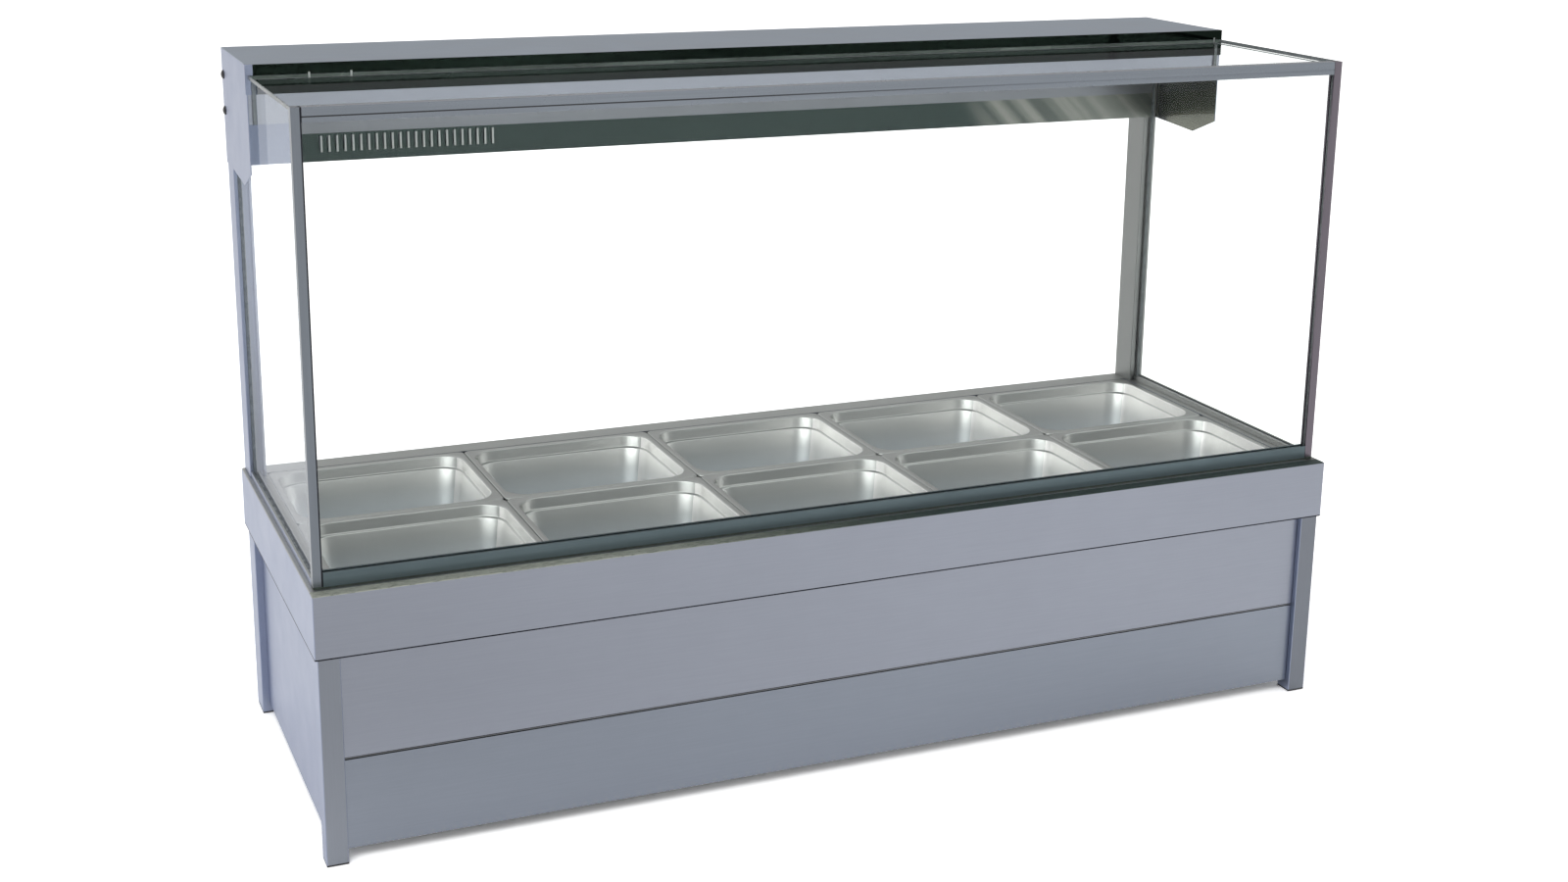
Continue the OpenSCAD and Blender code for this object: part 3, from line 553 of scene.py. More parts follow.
def make_finishes():
    """All the finishes, by name."""
    steel, glass = settings().steel, settings().glass
    rough = steel.roughness
    # Fades: painted light, paler and bluer down into a pan, and painted shade along the groove, fading out to
    # the right
    inside = ("Z", 0.385, 0.325, (0.640, 0.672, 0.690))
    groove_shade_fade = ("X", -0.30, 0.45, scaled(steel.trim, 0.95))
    # Colour, grain, roughness, shares of grain and clouds, smudge, bump and fade
    metals = {
        "satin_steel_long": (steel.satin, LONG, rough, 0.03, 0.04),
        "satin_steel_deep": (steel.side, DEEP, rough, 0.03, 0.04),
        "satin_steel_low": ((0.250, 0.274, 0.320), LONG, rough, 0.03, 0.05),
        "satin_steel_tall": (steel.leg, TALL, rough, 0.03, 0.04),
        # Painted shade: the leg steel darkened for the right leg
        "satin_steel_dim": (scaled(steel.leg, 0.74), TALL, rough, 0.03, 0.04),
        "satin_steel_grey": ((0.268, 0.274, 0.268), TALL, rough, 0.05, 0.10),
        "satin_steel_fascia": (scaled(steel.satin, 1.26), LONG, rough, 0.03, 0.04),
        "satin_steel_hood": ((0.370, 0.425, 0.500), LONG, rough, 0.03, 0.05),
        "satin_steel_deck": (scaled(steel.drawn, 0.85), (3, 260, 260), 0.42),
        # Painted reflection: olive tone on the steel where the end plate faces inward
        "end_plate_painted_reflection": ((0.215, 0.210, 0.165), DEEP, 0.22, 0.06, 0.22),
        "shadow_seam": ((0.035, 0.036, 0.044), (40, 300, 300), 0.5, 0.3, 0.3),
        # Drawn steel, going over to painted light, paler and bluer, lower down in a pan
        "drawn_steel": (steel.drawn, DRAWN, 0.38, 0.03, 0.06, 0.02, 0.0, inside),
        # Painted shade: drawn steel made darker on the rims and necks of the pans
        "drawn_steel_rim_shaded": (scaled(steel.drawn, 0.88), DRAWN, 0.36, 0.04, 0.08),
        # Painted reflection: drawn steel made near white on the pans' right inner walls
        "drawn_steel_painted_reflection": ((0.905, 0.884, 0.872), DRAWN, 0.42, 0.03, 0.06, 0.02, 0.0),
        "mill_steel": (steel.frame_rail, (6, 120, 120), 0.48, 0.16, 0.2, 0.1, 0.1),
        "satin_trim": (steel.trim, BAR_TALL, 0.30, 0.06, 0.06),
        # Painted shade: the trim darker and mauve on the right end
        "right_trim_painted_shade": ((0.165, 0.146, 0.170), BAR_TALL, 0.30, 0.06, 0.06),
        "satin_trim_long": (scaled(steel.trim, 1.06), BAR_LONG, 0.28, 0.06, 0.06),
        # Painted highlight: the trim made pale where it faces up
        "trim_painted_highlight": ((0.40, 0.42, 0.46), BAR_LONG, 0.3, 0.05, 0.06),
        # Painted shade in the rail's groove, fading out towards the right
        "groove_painted_shade": ((0.060, 0.062, 0.066), BAR_LONG, 0.4, 0.1, 0.1, 0.03, 0.04, groove_shade_fade),
        # Painted shade: the aluminium ledge under the top glass made near black
        "dark_ledge": ((0.040, 0.052, 0.047), BAR_LONG, 0.30, 0.10, 0.20),
        "slate_channel": (steel.channel, (4, 200, 200), 0.42, 0.08, 0.10, 0.05),
        # Painted dark reflection on the polished strip
        "polished_strip": (steel.strip, (1.6, 60, 60), 0.05, 0.3, 0.5, 0.02, 0.0),
        "vent_lip_finish": ((0.47, 0.49, 0.48), (200, 200, 20), 0.3, 0.06, 0.1),
        "bright_reflector": ((0.25, 0.262, 0.285), (3, 160, 160), 0.34, 0.05, 0.08),
        "zinc_screw": ((0.50, 0.50, 0.50), (200, 200, 200), 0.32, 0.15, 0.1),
    }
    # Dark and light tone, waves to the metre, roughness, bump, clearness, metallic share and depth of bump
    moulded = {
        "heater_sheath": ((0.05, 0.048, 0.045), (0.16, 0.13, 0.11), 30, 0.5, 0.15, 0.0, 1.0),
        "fired_ceramic": ((0.70, 0.69, 0.64), (0.80, 0.79, 0.75), 220, 0.42, 0.2),
        "mineral_wool": ((0.42, 0.38, 0.22), (0.62, 0.57, 0.38), 160, 0.9, 0.9, 0.0, 0.0, 2 * MM),
        "black_rubber": ((0.010, 0.010, 0.011), (0.024, 0.024, 0.026), 300, 0.62, 0.3),
        "black_plastic": ((0.010, 0.010, 0.011), (0.020, 0.020, 0.022), 420, 0.34, 0.12),
        "green_switch": ((0.010, 0.16, 0.025), (0.02, 0.24, 0.04), 60, 0.25, 0.05, 0.25),
        "red_lens": ((0.45, 0.02, 0.01), (0.62, 0.04, 0.02), 60, 0.14, 0.05, 0.5),
        "white_mark": ((0.60, 0.60, 0.58), (0.72, 0.72, 0.70), 200, 0.5, 0.05),
        "dark_recess": ((0.010, 0.010, 0.010), (0.025, 0.025, 0.025), 300, 0.6),
        "lamp_quartz": ((0.80, 0.78, 0.72), (0.62, 0.60, 0.55), 40, 0.22, 0.05, 0.35),
        "ground_glass_edge": (scaled(glass.edge_tint, 0.8), glass.edge_tint, 90, 0.28, 0.08),
        "dark_glass_edge": ((0.040, 0.055, 0.048), (0.130, 0.165, 0.145), 9, 0.25, 0.05),
        "dark_seal": ((0.012, 0.020, 0.014), (0.035, 0.05, 0.04), 120, 0.5, 0.2),
    }
    made = {name: grained_metal(name, *row) for name, row in metals.items()}
    made.update({name: plain_finish(name, *row) for name, row in moulded.items()})
    made["worn_and_shaded_band_edge"] = worn_and_shaded_edge("worn_and_shaded_band_edge")
    made["vent_panel_finish"] = vent_with_painted_streaks("vent_panel_finish", steel.vent)
    made["clear_glass"] = glass_finish("clear_glass", glass.tint, 0.36)
    made["clear_glass_soft"] = glass_finish("clear_glass_soft", glass.tint, 0.14)
    return made


FINISHES = {}


def finish_named(name):
    if not FINISHES:
        FINISHES.update(make_finishes())
    return FINISHES[name]


# Sheet metal

# CAD node, finish and, where it isn't satin_steel, record slot
SHEETS = {
    "cabinet": [
        # The right leg has the leg steel darkened by painted shade
        ("front_left_leg", "satin_steel_tall"), ("front_right_leg", "satin_steel_dim"),
        ("rear_left_post", "satin_steel_deep"), ("rear_right_post", "satin_steel_grey"),
        ("front_upper_panel", "satin_steel_long"), ("front_lower_panel", "satin_steel_low"),
        ("left_side_panel", "satin_steel_deep"), ("right_side_panel", "satin_steel_deep"),
        ("rear_control_panel", "satin_steel_long"), ("top_band", "satin_steel_long"),
    ],
    "hood": [
        ("canopy_top", "satin_steel_hood"), ("canopy_fascia", "satin_steel_fascia"),
        ("left_end_plate", "satin_steel_deep"), ("right_end_plate", "satin_steel_deep"),
        ("rear_housing", "satin_steel_long"), ("canopy_front_strip", "polished_strip", "dark_mirror"),
        # The vent panel has painted reflection streaks at its right end
        ("vent_panel", "vent_panel_finish", "vent_grey"),
        ("lamp_reflector", "bright_reflector", "bright_reflector"),
    ],
    "trims": [
        ("corner_trims", "satin_trim", "satin_aluminium"),
        ("front_top_rail", "satin_trim_long", "satin_aluminium"),
        ("front_glass_channel", "slate_channel", "slate_channel"),
        ("end_glass_channels", "satin_steel_deep", "satin_aluminium"),
        # The ledge under the top glass has painted shade
        ("top_glass_ledge", "dark_ledge", "satin_aluminium"), ("glass_seals", "dark_seal", "black_rubber"),
    ],
}
# Nodes whose folds are wider than a cut edge, and by what share of the fold radius
FOLDED = {"top_band": 1.0, "front_left_leg": 0.8, "front_right_leg": 0.8, "rear_left_post": 0.6,
          "rear_right_post": 0.6}


def paint_faces(piece, finish, test):
    """Gives the faces that test picks a finish of their own."""
    index = add_finish(piece, finish)
    for face in piece.data.polygons:
        if test(face):
            face.material_index = index


# How far from the bar's middle the deck, the polished strip, the hood's lining and the trims end
DECK_END, STRIP_END, LINING_END, TRIM_END = 826 * MM, 833 * MM, 742 * MM, 828.2 * MM
# Where a sheet is scored across, so that its ends can show a finish of their own
SCORED = {"canopy_front_strip": STRIP_END, "top_band": DECK_END, "vent_panel": LINING_END,
          "lamp_reflector": LINING_END, "corner_trims": TRIM_END}
# The ledge in front of the glass channel, the shadow lines under the band and the panel, and half the groove
WORN_WIDTH, BAND_SEAM, PANEL_SEAM, GROOVE_HALF = 7.5 * MM, 2.1 * MM, 1.2 * MM, 1.0 * MM
# How squarely a face has to look along an axis to count as facing that way
FACING = 0.7


def score(piece, axis, *spots):
    """Cuts the faces of a piece across at each spot along an axis, without parting them."""
    normal = [float(number == axis) for number in range(3)]
    into_edit(piece, "FACE")
    for spot in spots:
        bpy.ops.mesh.select_all(action="SELECT")
        bpy.ops.mesh.bisect(plane_co=[spot * part for part in normal], plane_no=normal)
    to_object_mode()


def groove_level(low, high):
    """The height of the groove along the front of the top rail."""
    return low.z + (high.z - low.z) * 0.38


# Faces of a sheet that show another finish: the sheet, the finish and a test of a face
OTHER_FACES = (
    ("top_band", "satin_steel_deep", lambda face: abs(face.normal.x) > FACING),
    ("top_band", "satin_steel_deck", lambda face: face.normal.z > FACING and face.center.x < DECK_END),
    ("top_band", "satin_steel_grey", lambda face: face.normal.z > FACING and face.center.x > DECK_END),
    ("end_glass_channels", "satin_steel_deck",
     lambda face: face.normal.z > FACING or face.center.x > 0 and face.normal.x < FACING),
    ("front_left_leg", "satin_steel_deep", lambda face: abs(face.normal.x) > FACING),
    ("front_right_leg", "satin_steel_deep", lambda face: abs(face.normal.x) > FACING),
    ("front_upper_panel", "shadow_seam",
     lambda face: face.center.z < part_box("front_upper_panel")[0].z + PANEL_SEAM + 0.1 * MM),
    ("rear_right_post", "satin_steel_deep", lambda face: face.normal.x > FACING or face.normal.y > FACING),
    # The right trim's front and inner faces get the painted shade
    ("corner_trims", "right_trim_painted_shade", lambda face: face.center.x > 0 and face.normal.x < FACING),
    ("corner_trims", "shadow_seam", lambda face: face.normal.y < -FACING and -TRIM_END < face.center.x < 0),
    # Painted shade in the groove along the rail's front
    ("front_top_rail", "groove_painted_shade",
     lambda face: 0.3 * MM < face.center.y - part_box("front_top_rail")[0].y < 0.8 * MM
     and abs(face.normal.z) < 0.95
     and abs(face.center.z - groove_level(*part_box("front_top_rail"))) < GROOVE_HALF + 0.4 * MM),
    ("front_lower_panel", "shadow_seam",
     lambda face: face.center.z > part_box("front_lower_panel")[1].z - 0.7 * MM),
    # The ledge in front of the glass channel: pale wear, with painted shade darkening it to the right
    ("top_band", "worn_and_shaded_band_edge",
     lambda face: face.normal.z > 0.3 and face.center.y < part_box("front_glass_channel")[0].y - WORN_WIDTH),
    ("top_band", "shadow_seam", lambda face: face.center.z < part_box("top_band")[0].z + BAND_SEAM + 0.1 * MM),
    ("canopy_front_strip", "satin_steel_deep", lambda face: face.center.x < -STRIP_END),
    # Painted highlight on the rail's upward faces
    ("front_top_rail", "trim_painted_highlight", lambda face: face.normal.z > 0.5),
    # Painted reflection on the right end plate's inward face
    ("right_end_plate", "end_plate_painted_reflection", lambda face: face.normal.x < -FACING),
    ("vent_panel", "satin_steel_deep", lambda face: face.center.x < -LINING_END),
    ("lamp_reflector", "satin_steel_deep", lambda face: face.center.x < -LINING_END),
)


def sheet_piece(node, finish, slot="satin_steel"):
    """A sheet-metal piece: the CAD shape with its folds rounded and its cut edges eased."""
    steel = settings().steel
    piece = traced(node, node + "_sheet")
    low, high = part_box(node)
    near = 0.2 * MM
    if node in FOLDED:
        def outer(edge):
            spot, sides = middle(edge), 0
            for axis in range(2):
                sides += min(abs(spot[axis] - low[axis]), abs(spot[axis] - high[axis])) < near
            if node == "top_band":
                sides += abs(spot.z - high.z) < near
            return is_fold(edge) and sides >= 2
        round_edges(piece, steel.fold_radius * FOLDED[node], outer, 3)
    round_edges(piece, steel.edge_radius, is_fold)
    if node in SCORED:
        score(piece, 0, -SCORED[node], SCORED[node])
    if node == "top_band":
        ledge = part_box("front_glass_channel")[0].y
        score(piece, 2, low.z + BAND_SEAM)
        score(piece, 1, ledge, ledge - WORN_WIDTH)
    if node == "front_upper_panel":
        score(piece, 2, low.z + PANEL_SEAM)
    if node == "front_top_rail":
        level = groove_level(low, high)
        score(piece, 2, level - GROOVE_HALF, level + GROOVE_HALF)
        pick(piece, "FACE", lambda face: face.normal.y < -0.9
             and abs(face.calc_center_median().z - level) < GROOVE_HALF)
        bpy.ops.mesh.inset(thickness=0.05 * MM, depth=-0.6 * MM)
        to_object_mode()
    smooth(piece)
    finish_piece(piece, CABINET, slot, finish, node)
    for sheet, other, test in OTHER_FACES:
        if sheet == node:
            paint_faces(piece, other, test)


def sheet_group(group):
    for row in SHEETS[group]:
        sheet_piece(*row)
    return {"FINISHED"}


class FOODBAR_OT_cabinet(bpy.types.Operator):
    """Folds the legs, posts, panels and band of the cabinet"""

    bl_idname = "foodbar.cabinet"
    bl_label = "Cabinet sheets"

    def execute(self, context):
        return sheet_group("cabinet")


class FOODBAR_OT_hood(bpy.types.Operator):
    """Folds the hood, its polished strip, vent panel and reflector"""

    bl_idname = "foodbar.hood"
    bl_label = "Hood sheets"

    def execute(self, context):
        return sheet_group("hood")


class FOODBAR_OT_trims(bpy.types.Operator):
    """Rounds the trims, rails and channels that hold the glass"""

    bl_idname = "foodbar.trims"
    bl_label = "Glass trims"

    def execute(self, context):
        return sheet_group("trims")


INNER_STEEL = (
    "frame_rails", "front_mid_rail", "bottom_tray", "well_tank", "element_supports", "pan_support_rack")


class FOODBAR_OT_inner_parts(bpy.types.Operator):
    """Gives the rails, tray, well, rack, heaters and insulation their finishes"""

    bl_idname = "foodbar.inner_parts"
    bl_label = "Inner parts"

    def execute(self, context):
        for node in INNER_STEEL:
            dress(node, "mill_steel")
        dress("heating_elements", "heater_sheath")
        dress("insulation_slab", "mineral_wool")
        return {"FINISHED"}


# Fittings

# CAD node, finish, record slot, the rounding of its edges in millimetres, and the body where it moves
FITTINGS = (
    ("leg_feet", "black_rubber", "black_rubber", 1.2),
    ("thermostat", "fired_ceramic", "ceramic", 0.6),
    ("terminal_block", "fired_ceramic", "ceramic", 0.5),
    ("lamp_holders", "fired_ceramic", "ceramic", 0.8),
    ("heat_lamps", "lamp_quartz", "lamp_quartz", 0.8),
    ("end_plate_domes", "black_plastic", "black_plastic", 0.5),
    ("thermostat_knob", "black_plastic", "black_plastic", 0.7, "thermostat_knob"),
    ("switch_housings", "black_plastic", "black_plastic", 0.5),
    ("power_switch_rocker", "green_switch", "green_plastic", 0.5, "power_switch_rocker"),
    ("lamp_switch_rocker", "black_plastic", "black_plastic", 0.5, "lamp_switch_rocker"),
    ("indicator_lamp", "red_lens", "red_lens", 0.6),
    ("cable_gland", "black_plastic", "black_plastic", 0.5),
    ("panel_screws", "zinc_screw", "plain_steel", 0.4),
)


def fitting(node, finish, slot, radius, body=CABINET):
    """A small part: the CAD shape with its edges rounded off."""
    piece = traced(node, node + "_part")
    round_edges(piece, radius * MM, is_fold)
    smooth(piece)
    finish_piece(piece, body, slot, finish, node)


def loose_boxes(node):
    """The boxes of the separate solids of a CAD node, as (low, high) corners."""
    piece = traced(node, "loose")
    make_active(piece)
    bpy.ops.mesh.separate(type="LOOSE")
    boxes = []
    for part in list(bpy.context.selected_objects):
        spots = [vertex.co for vertex in part.data.vertices]
        boxes.append([Vector([end(spot[axis] for spot in spots) for axis in range(3)]) for end in (min, max)])
        bpy.data.objects.remove(part)
    return boxes


def eased_block(name, centre, half, levels, radius):
    """A block with rounded edges: its middle and half its size in X and Z, and its two levels in Y."""
    near, far = sorted(levels)
    block = add_block(name, (centre[0] - half[0], near, centre[1] - half[1]),
                      (centre[0] + half[0], far, centre[1] + half[1]))
    round_edges(block, radius, is_fold)
    return block


class FOODBAR_OT_fittings(bpy.types.Operator):
    """Makes the controls, feet, lamps and fasteners, with the marks on the knob and switches"""

    bl_idname = "foodbar.fittings"
    bl_label = "Fittings"

    def execute(self, context):
        for row in FITTINGS:
            fitting(*row)
        self.knob_marks()
        self.rocker_marks("power_switch_rocker")
        self.rocker_marks("lamp_switch_rocker")
        self.screw_recesses()
        return {"FINISHED"}

    def knob_marks(self):
        """A white pointer on the knob, and a ring of ticks round it on the panel."""
        low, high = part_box("thermostat_knob")
        centre = (low + high) / 2
        radius = (high.x - low.x) / 2
        pointer = eased_block(
            "knob_pointer", (centre.x, centre.z + radius * 0.635), (0.9 * MM, radius * 0.285),
            (high.y - 0.2 * MM, high.y + 0.15 * MM), 0.15 * MM)
        finish_piece(pointer, "thermostat_knob", "black_plastic", "white_mark")
        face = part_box("rear_control_panel")[1].y
        tick = eased_block("tick", (0, radius + 6.25 * MM), (0.45 * MM, 2.25 * MM),
                           (face - 0.05 * MM, face + 0.12 * MM), 0.05 * MM)
        dial = Matrix.Translation((centre.x, 0, centre.z))
        ticks = [
            copy_piece(tick, "tick_copy", dial @ Matrix.Rotation(math.radians(-135 + 30 * index), 4, "Y"))
            for index in range(10)]
        bpy.data.objects.remove(tick)
        ring = join_pieces(ticks, "dial_ticks")
        finish_piece(ring, CABINET, "black_plastic", "white_mark")

    def rocker_marks(self, node):
        """The plain bar and ring of a switch."""
        low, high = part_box(node)
        centre = (low + high) / 2
        tall = high.z - low.z
        lift = high.y - 0.25 * MM
        bar = eased_block("bar", (centre.x, centre.z + tall * 0.25), (0.5 * MM, tall * 0.09),
                          (lift, lift + 0.35 * MM), 0.1 * MM)
        clear_selection()
        bpy.ops.mesh.primitive_torus_add(major_radius=tall * 0.085, minor_radius=0.3 * MM, major_segments=24,
                                         minor_segments=8, rotation=(math.pi / 2, 0, 0),
                                         location=(centre.x, lift, centre.z - tall * 0.25))
        marks = join_pieces([bar, started("ring")], node + "_marks")
        smooth(marks, weighted=False)
        finish_piece(marks, node, "black_plastic", "white_mark")

    def screw_recesses(self):
        """The crossed recess in the head of each screw."""
        crosses = []
        for low, high in loose_boxes("panel_screws"):
            centre = (low + high) / 2
            front, out = (low.y, -1) if centre.y < 0 else (high.y, 1)
            reach = (high.x - low.x) * 0.30
            for half in ((reach, 0.45 * MM), (0.45 * MM, reach)):
                crosses.append(eased_block("cross", (centre.x, centre.z), half,
                                           (front - out * 0.3 * MM, front + out * 0.06 * MM), 0.04 * MM))
        cross = join_pieces(crosses, "screw_recesses")
        finish_piece(cross, CABINET, "black_plastic", "dark_recess")


# The vent's lips and the clips of the top glass

# Along the edge of the glass, from the middle of the bar
CLIP_PLACES = (-752 * MM, -690 * MM, 828 * MM)


class FOODBAR_OT_vent_lips(bpy.types.Operator):
    """Presses a bright lip beside each slot of the vent panel and clips the top glass to the strip"""

    bl_idname = "foodbar.vent_lips"
    bl_label = "Vent lips and clips"

    def execute(self, context):
        vent = settings().vent
        panel_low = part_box("vent_panel")[0]
        clear_selection()
        bpy.ops.mesh.primitive_cylinder_add(
            vertices=16, radius=vent.lip_width / 2, depth=vent.slot_high - vent.slot_low + 2 * MM,
            location=(0, 0, (vent.slot_low + vent.slot_high) / 2))
        lip = started("lip")
        into_edit(lip, "FACE", "SELECT")
        bpy.ops.mesh.bisect(plane_co=(0, 0.2 * MM, 0), plane_no=(0, 1, 0), clear_outer=True, use_fill=True)
        bpy.ops.mesh.select_all(action="SELECT")
        bpy.ops.transform.resize(value=(1, 0.8, 1), center_override=(0, 0, 0))
        to_object_mode()
        round_edges(lip, 0.7 * MM, lambda edge: is_fold(edge) and is_level(edge))
        first = panel_low.x + vent.slot_start + vent.lip_width * 0.25
        lips = [
            copy_piece(lip, "lip_copy", Matrix.Translation((first + vent.slot_pitch * index, panel_low.y, 0)))
            for index in range(vent.slot_count)]
        bpy.data.objects.remove(lip)
        lips = join_pieces(lips, "vent_lips")
        smooth(lips)
        finish_piece(lips, CABINET, "vent_grey", "vent_lip_finish")
        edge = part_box("canopy_front_strip")[0].y
        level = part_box("top_glass")[1].z
        clips = [eased_block("clip", (spot, level - 2 * MM), (1.5 * MM, 5 * MM),
                             (edge - 1.6 * MM, edge + 0.2 * MM), 0.4 * MM) for spot in CLIP_PLACES]
        clips = join_pieces(clips, "glass_clips")
        smooth(clips)
        finish_piece(clips, CABINET, "satin_aluminium", "vent_lip_finish")
        return {"FINISHED"}


# Glass


class FOODBAR_OT_glass(bpy.types.Operator):
    """Cuts the four panes and grinds their edges"""

    bl_idname = "foodbar.glass"
    bl_label = "Glass panes"

    def execute(self, context):
        arris = settings().glass.arris
        for node, axis in (
                ("front_glass", 1), ("left_end_glass", 0), ("right_end_glass", 0), ("top_glass", 2)):
            pane = traced(node, node + "_pane")
            round_edges(pane, arris, is_fold, 1)
            clear = "clear_glass" if axis == 0 else "clear_glass_soft"
            finish_piece(pane, CABINET, "clear_glass", clear, node)
            ground, rear = add_finish(pane, "ground_glass_edge"), add_finish(pane, "dark_glass_edge")
            back = max(face.center.y for face in pane.data.polygons)
            for face in pane.data.polygons:
                face.material_index = 0 if abs(face.normal[axis]) > 0.99 else ground
                if axis == 2 and face.normal.y > 0.9 and face.center.y > back - 1 * MM:
                    face.material_index = rear
        return {"FINISHED"}


# Pans

# Radii of the rolled edge, the throat and the rim's corners, and how far the rolled edge hangs down
ROLL, THROAT, RIM_CORNER, RIM_DROP = 1.6 * MM, 2.4 * MM, 12 * MM, 3.4 * MM


def add_ring(name, length, width, radius, steps):
    """A rounded rectangle of edges on the floor."""
    clear_selection()
    bpy.ops.mesh.primitive_plane_add(size=1)
    ring = started(name, (length, width, 1))
    into_edit(ring, "VERT", "SELECT")
    bpy.ops.mesh.bevel(offset=radius, offset_type="OFFSET", segments=steps, affect="VERTICES")
    bpy.ops.mesh.select_all(action="SELECT")
    bpy.ops.mesh.delete(type="ONLY_FACE")
    to_object_mode()
    return ring


def grow_rings(piece, test, rows, size):
    """Extrudes the open edges whose middles test picks down a list of (inset, drop) steps."""
    length, width = size
    pick(piece, "EDGE", lambda edge: edge.is_boundary and test(middle(edge)))
    for inset, drop in rows:
        bpy.ops.mesh.extrude_edges_move()
        bpy.ops.transform.translate(value=(0, 0, -drop))
        bpy.ops.transform.resize(value=((length - 2 * inset) / length, (width - 2 * inset) / width, 1),
                                 center_override=(0, 0, 0))
        length, width = length - 2 * inset, width - 2 * inset
    to_object_mode()


def turn_in(radius, count):
    """Steps (inset, drop) round an arc, from flat, heading inwards, to straight down."""
    angles = [math.pi / 2 * i / count for i in range(count + 1)]
    spots = [(radius * math.sin(a), radius * (1 - math.cos(a))) for a in angles]
    return [(b[0] - a[0], b[1] - a[1]) for a, b in zip(spots, spots[1:])]


def turn_out(radius, count):
    """The same from straight down to flat, heading inwards."""
    return [(drop, inset) for inset, drop in turn_in(radius, count)]


def pan_shell(low, high):
    """One pan round the origin with its rim's top at level 0."""
    pan = settings().pans
    steps = pan.corner_steps
    length, width = high.x - low.x, high.y - low.y
    depth = high.z - low.z
    rim = (length - 2 * ROLL, width - 2 * ROLL)
    mouth = (length - 2 * pan.rim_width, width - 2 * pan.rim_width)
    outer = add_ring("pan", *rim, RIM_CORNER - ROLL, steps)
    inner = add_ring("pan_mouth", *mouth, pan.mouth_radius + THROAT, steps)
    shell = join_pieces([outer, inner], "pan")
    into_edit(shell, "EDGE", "SELECT")
    bpy.ops.mesh.bridge_edge_loops()
    to_object_mode()
    # The rolled edge outside the rim
    grow_rings(shell, lambda spot: abs(spot.x) > mouth[0] / 2 + CLOSE or abs(spot.y) > mouth[1] / 2 + CLOSE,
               [(-inset, drop) for inset, drop in turn_in(ROLL, 3)] + [(0, RIM_DROP)], rim)
    # The throat, the neck, the stacking shoulder, the wall and the floor
    shoulder = pan.shoulder_step / 2
    floor = pan.floor_radius
    reach = depth - pan.wall - pan.shoulder_drop - shoulder - floor
    rows = (turn_in(THROAT, 3) + [(0.3 * MM, pan.shoulder_drop - THROAT - shoulder)]
            + turn_out(shoulder, 3) + turn_in(shoulder, 3)
            + [(pan.taper * 0.5, reach * 0.5), (pan.taper * 0.5, reach * 0.5)] + turn_out(floor, 4)
            + [(14 * MM, 0.5 * MM), (60 * MM, 0.3 * MM)])
    grow_rings(shell, lambda spot: abs(spot.z) < CLOSE, rows, mouth)
    bottom = min(vertex.co.z for vertex in shell.data.vertices)
    pick(shell, "EDGE", lambda edge: edge.is_boundary and middle(edge).z < bottom + CLOSE)
    bpy.ops.mesh.edge_face_add()
    bpy.ops.mesh.select_all(action="SELECT")
    bpy.ops.mesh.normals_make_consistent(inside=False)
    to_object_mode()
    top = next(face for face in shell.data.polygons if abs(face.normal.z) > 0.9 and face.center.z > -0.1 * MM)
    if top.normal.z < 0:
        into_edit(shell, "FACE", "SELECT")
        bpy.ops.mesh.flip_normals()
        to_object_mode()
    apply_modifier(shell, "SOLIDIFY", thickness=pan.wall, offset=-1.0)
    smooth(shell, weighted=False)
    return shell


class FOODBAR_OT_pans(bpy.types.Operator):
    """Draws one pan and sets a copy in each opening of the rack"""

    bl_idname = "foodbar.pans"
    bl_label = "Pans"

    def execute(self, context):
        low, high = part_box("front_pan_1")
        shell = pan_shell(low, high)
        for row in PAN_ROWS:
            for column in range(PAN_COLUMNS):
                node = f"{row}_pan_{column + 1}"
                low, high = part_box(node)
                spot = ((low.x + high.x) / 2, (low.y + high.y) / 2, high.z)
                piece = copy_piece(shell, node + "_shell", Matrix.Translation(spot))
                finish_piece(piece, node, "drawn_steel", "drawn_steel", node)
                bpy.data.collections[PAN_COLLECTION].objects.link(piece)
                # Painted shade on the faces above the shoulder
                brow = high.z - 0.9 * settings().pans.shoulder_drop
                paint_faces(piece, "drawn_steel_rim_shaded", lambda face: face.center.z > brow)
                # Painted reflection on the inner faces of each pan's right wall
                paint_faces(piece, "drawn_steel_painted_reflection",
                            lambda face: face.normal.x < -0.8 and face.center.x > spot[0])
        bpy.data.objects.remove(shell)
        return {"FINISHED"}


# Stage


def make_camera():
    stage = settings().stage
    clear_selection()
    bpy.ops.object.camera_add(location=stage.place)
    camera = bpy.context.object
    camera.name = "photo_camera"
    camera.rotation_mode = "XYZ"
    turn = (Matrix.Rotation(-stage.yaw, 3, "Z") @ Matrix.Rotation(math.pi / 2 - stage.pitch, 3, "X")
            @ Matrix.Rotation(stage.roll, 3, "Z"))
    camera.rotation_euler = turn.to_euler("XYZ")
    camera.data.sensor_width = 36.0
    camera.data.lens = stage.lens
    camera.data.shift_y = stage.rise
    camera.data.clip_end = 100.0
    bpy.context.scene.camera = camera


# How far the floor is lifted, for the camera and for metal and glass, where 1 is a matt white
SEEN_FLOOR, MIRRORED_FLOOR = 1.75, 1.30


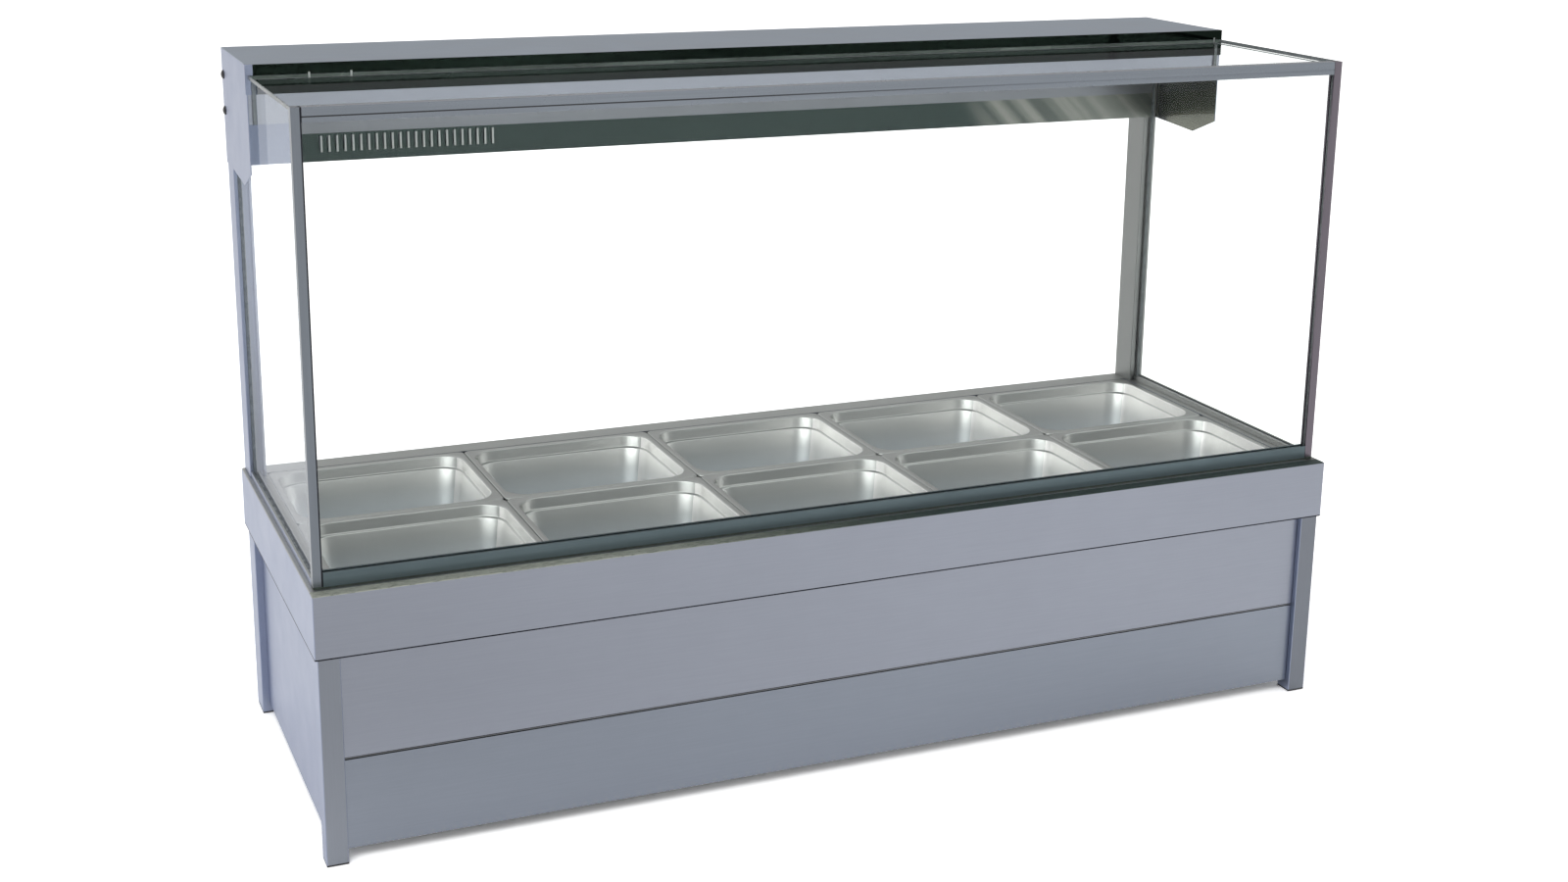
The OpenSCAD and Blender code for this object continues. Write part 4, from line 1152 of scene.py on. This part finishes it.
def make_floor():
    """A pale floor that keeps the shadow. The camera, metal and glass see it lifted to white, but metal sees
    it dimmer in front of the left end."""
    stage = settings().stage
    clear_selection()
    bpy.ops.mesh.primitive_plane_add(size=60)
    floor = started("studio_floor")
    material, tree, shader = new_tree("studio_floor")
    tree.nodes.remove(shader)
    tones = [(tone,) * 3 for tone in (stage.floor_tone * 0.99, stage.floor_tone)]
    matt = add_node(tree, "BsdfDiffuse", "BSDF", {"Color": tinted(tree, noise(tree, 40.0, 2.0), *tones)})
    camera, glossy, clear = (light_path(tree, kind) for kind in ("Camera", "Glossy", "Transmission"))
    corner = product(tree, placed(tree, "X", 0.9, -1.3), placed(tree, "Y", -0.3, -0.9))
    mirrored = tinted(tree, product(tree, corner, glossy), (MIRRORED_FLOOR,) * 3, (stage.dim_floor,) * 3)
    lifted = add_node(
        tree, "BsdfDiffuse", "BSDF", {"Color": tinted(tree, camera, mirrored, (SEEN_FLOOR,) * 3)})
    seen = math_node(tree, "MAXIMUM", camera, math_node(tree, "MAXIMUM", glossy, clear))
    set_surface(tree, mixed(tree, seen, matt, lifted))
    floor.data.materials.append(material)


def make_world():
    """Soft light from all sides. Metal sees a dimmer wall low down behind the bar, and white elsewhere."""
    stage = settings().stage
    world = bpy.data.worlds.new("studio")
    bpy.context.scene.world = world
    world.use_nodes = True
    tree = world.node_tree
    tree.nodes.clear()
    wall = 1.0
    for axis, start, end in ("Y", -0.1, 0.45), ("Z", 0.75, 0.30), ("X", -0.30, 0.12):
        wall = product(tree, wall, smooth_step(tree, coordinate(tree, axis, "Generated"), start, end))
    mirrored = math_node(tree, "MULTIPLY_ADD", wall, stage.wall_level - 1.0, 1.0)
    soft = background(tree, stage.world_level)
    glossy = mixed(tree, light_path(tree, "Glossy"), soft, background(tree, mirrored))
    seen = math_node(tree, "MAXIMUM", light_path(tree, "Camera"), light_path(tree, "Transmission"))
    output = tree.nodes.new("ShaderNodeOutputWorld")
    tree.links.new(mixed(tree, seen, glossy, background(tree, 1.0)), output.inputs["Surface"])


def make_lamp(name, place, aim, size, power, mirrored=False):
    """A soft lamp that lights matt surfaces, or one that only metal mirrors."""
    clear_selection()
    bpy.ops.object.light_add(type="AREA", location=place)
    lamp = bpy.context.object
    lamp.name = name
    lamp.data.shape = "RECTANGLE"
    lamp.data.size, lamp.data.size_y = size
    lamp.data.energy = power
    lamp.rotation_euler = (Vector(aim) - Vector(place)).to_track_quat("-Z", "Y").to_euler()
    lamp.visible_glossy = mirrored
    lamp.visible_diffuse = not mirrored
    lamp.visible_transmission = False
    lamp.visible_camera = False
    return lamp


class FOODBAR_OT_stage(bpy.types.Operator):
    """Sets the camera, the pale floor and the soft studio light"""

    bl_idname = "foodbar.stage"
    bl_label = "Stage"

    def execute(self, context):
        stage = settings().stage
        make_camera()
        make_floor()
        make_world()
        make_lamp("key_lamp", (-2.2, -2.6, 3.6), (0, 0, 0.5), (2.6, 2.0), stage.key_power)
        lamp = make_lamp(
            "corner_lamp", (-3.4, -2.8, 1.35), (0, 0, 0.4), (4.6, 1.9), stage.glow_power, mirrored=True)
        lamp.light_linking.receiver_collection = bpy.data.collections.new(PAN_COLLECTION)
        context.scene.view_settings.view_transform = "Standard"
        return {"FINISHED"}


class FoodBarSettings(bpy.types.PropertyGroup):
    """All the settings of the food bar"""

    steel: PointerProperty(type=SteelSettings)
    pans: PointerProperty(type=PanSettings)
    glass: PointerProperty(type=GlassSettings)
    vent: PointerProperty(type=VentSettings)
    stage: PointerProperty(type=StageSettings)


OPERATORS = (FOODBAR_OT_stage, FOODBAR_OT_cabinet, FOODBAR_OT_hood, FOODBAR_OT_trims, FOODBAR_OT_inner_parts,
             FOODBAR_OT_fittings, FOODBAR_OT_vent_lips, FOODBAR_OT_glass, FOODBAR_OT_pans)


class FOODBAR_PT_panel(bpy.types.Panel):
    """Lists the settings and the pieces of the food bar"""

    bl_label = "Food bar"
    bl_idname = "FOODBAR_PT_panel"
    bl_space_type = "VIEW_3D"
    bl_region_type = "UI"
    bl_category = "Food bar"

    def draw(self, context):
        bar = context.scene.food_bar
        for group in (bar.steel, bar.pans, bar.glass, bar.vent, bar.stage):
            box = self.layout.box()
            for name in group.__annotations__:
                box.prop(group, name)
        for operator in OPERATORS:
            self.layout.operator(operator.bl_idname)


CLASSES = (
    SteelSettings, PanSettings, GlassSettings, VentSettings, StageSettings, FoodBarSettings, *OPERATORS,
    FOODBAR_PT_panel)


def register():
    for cls in CLASSES:
        bpy.utils.register_class(cls)
    bpy.types.Scene.food_bar = PointerProperty(type=FoodBarSettings)


def unregister():
    del bpy.types.Scene.food_bar
    for cls in reversed(CLASSES):
        bpy.utils.unregister_class(cls)


def main():
    register()
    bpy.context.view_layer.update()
    for operator in OPERATORS:
        group, name = operator.bl_idname.split(".")
        if getattr(getattr(bpy.ops, group), name)() != {"FINISHED"}:
            raise RuntimeError(operator.bl_label + " didn't finish")


if __name__ == "__main__":
    main()
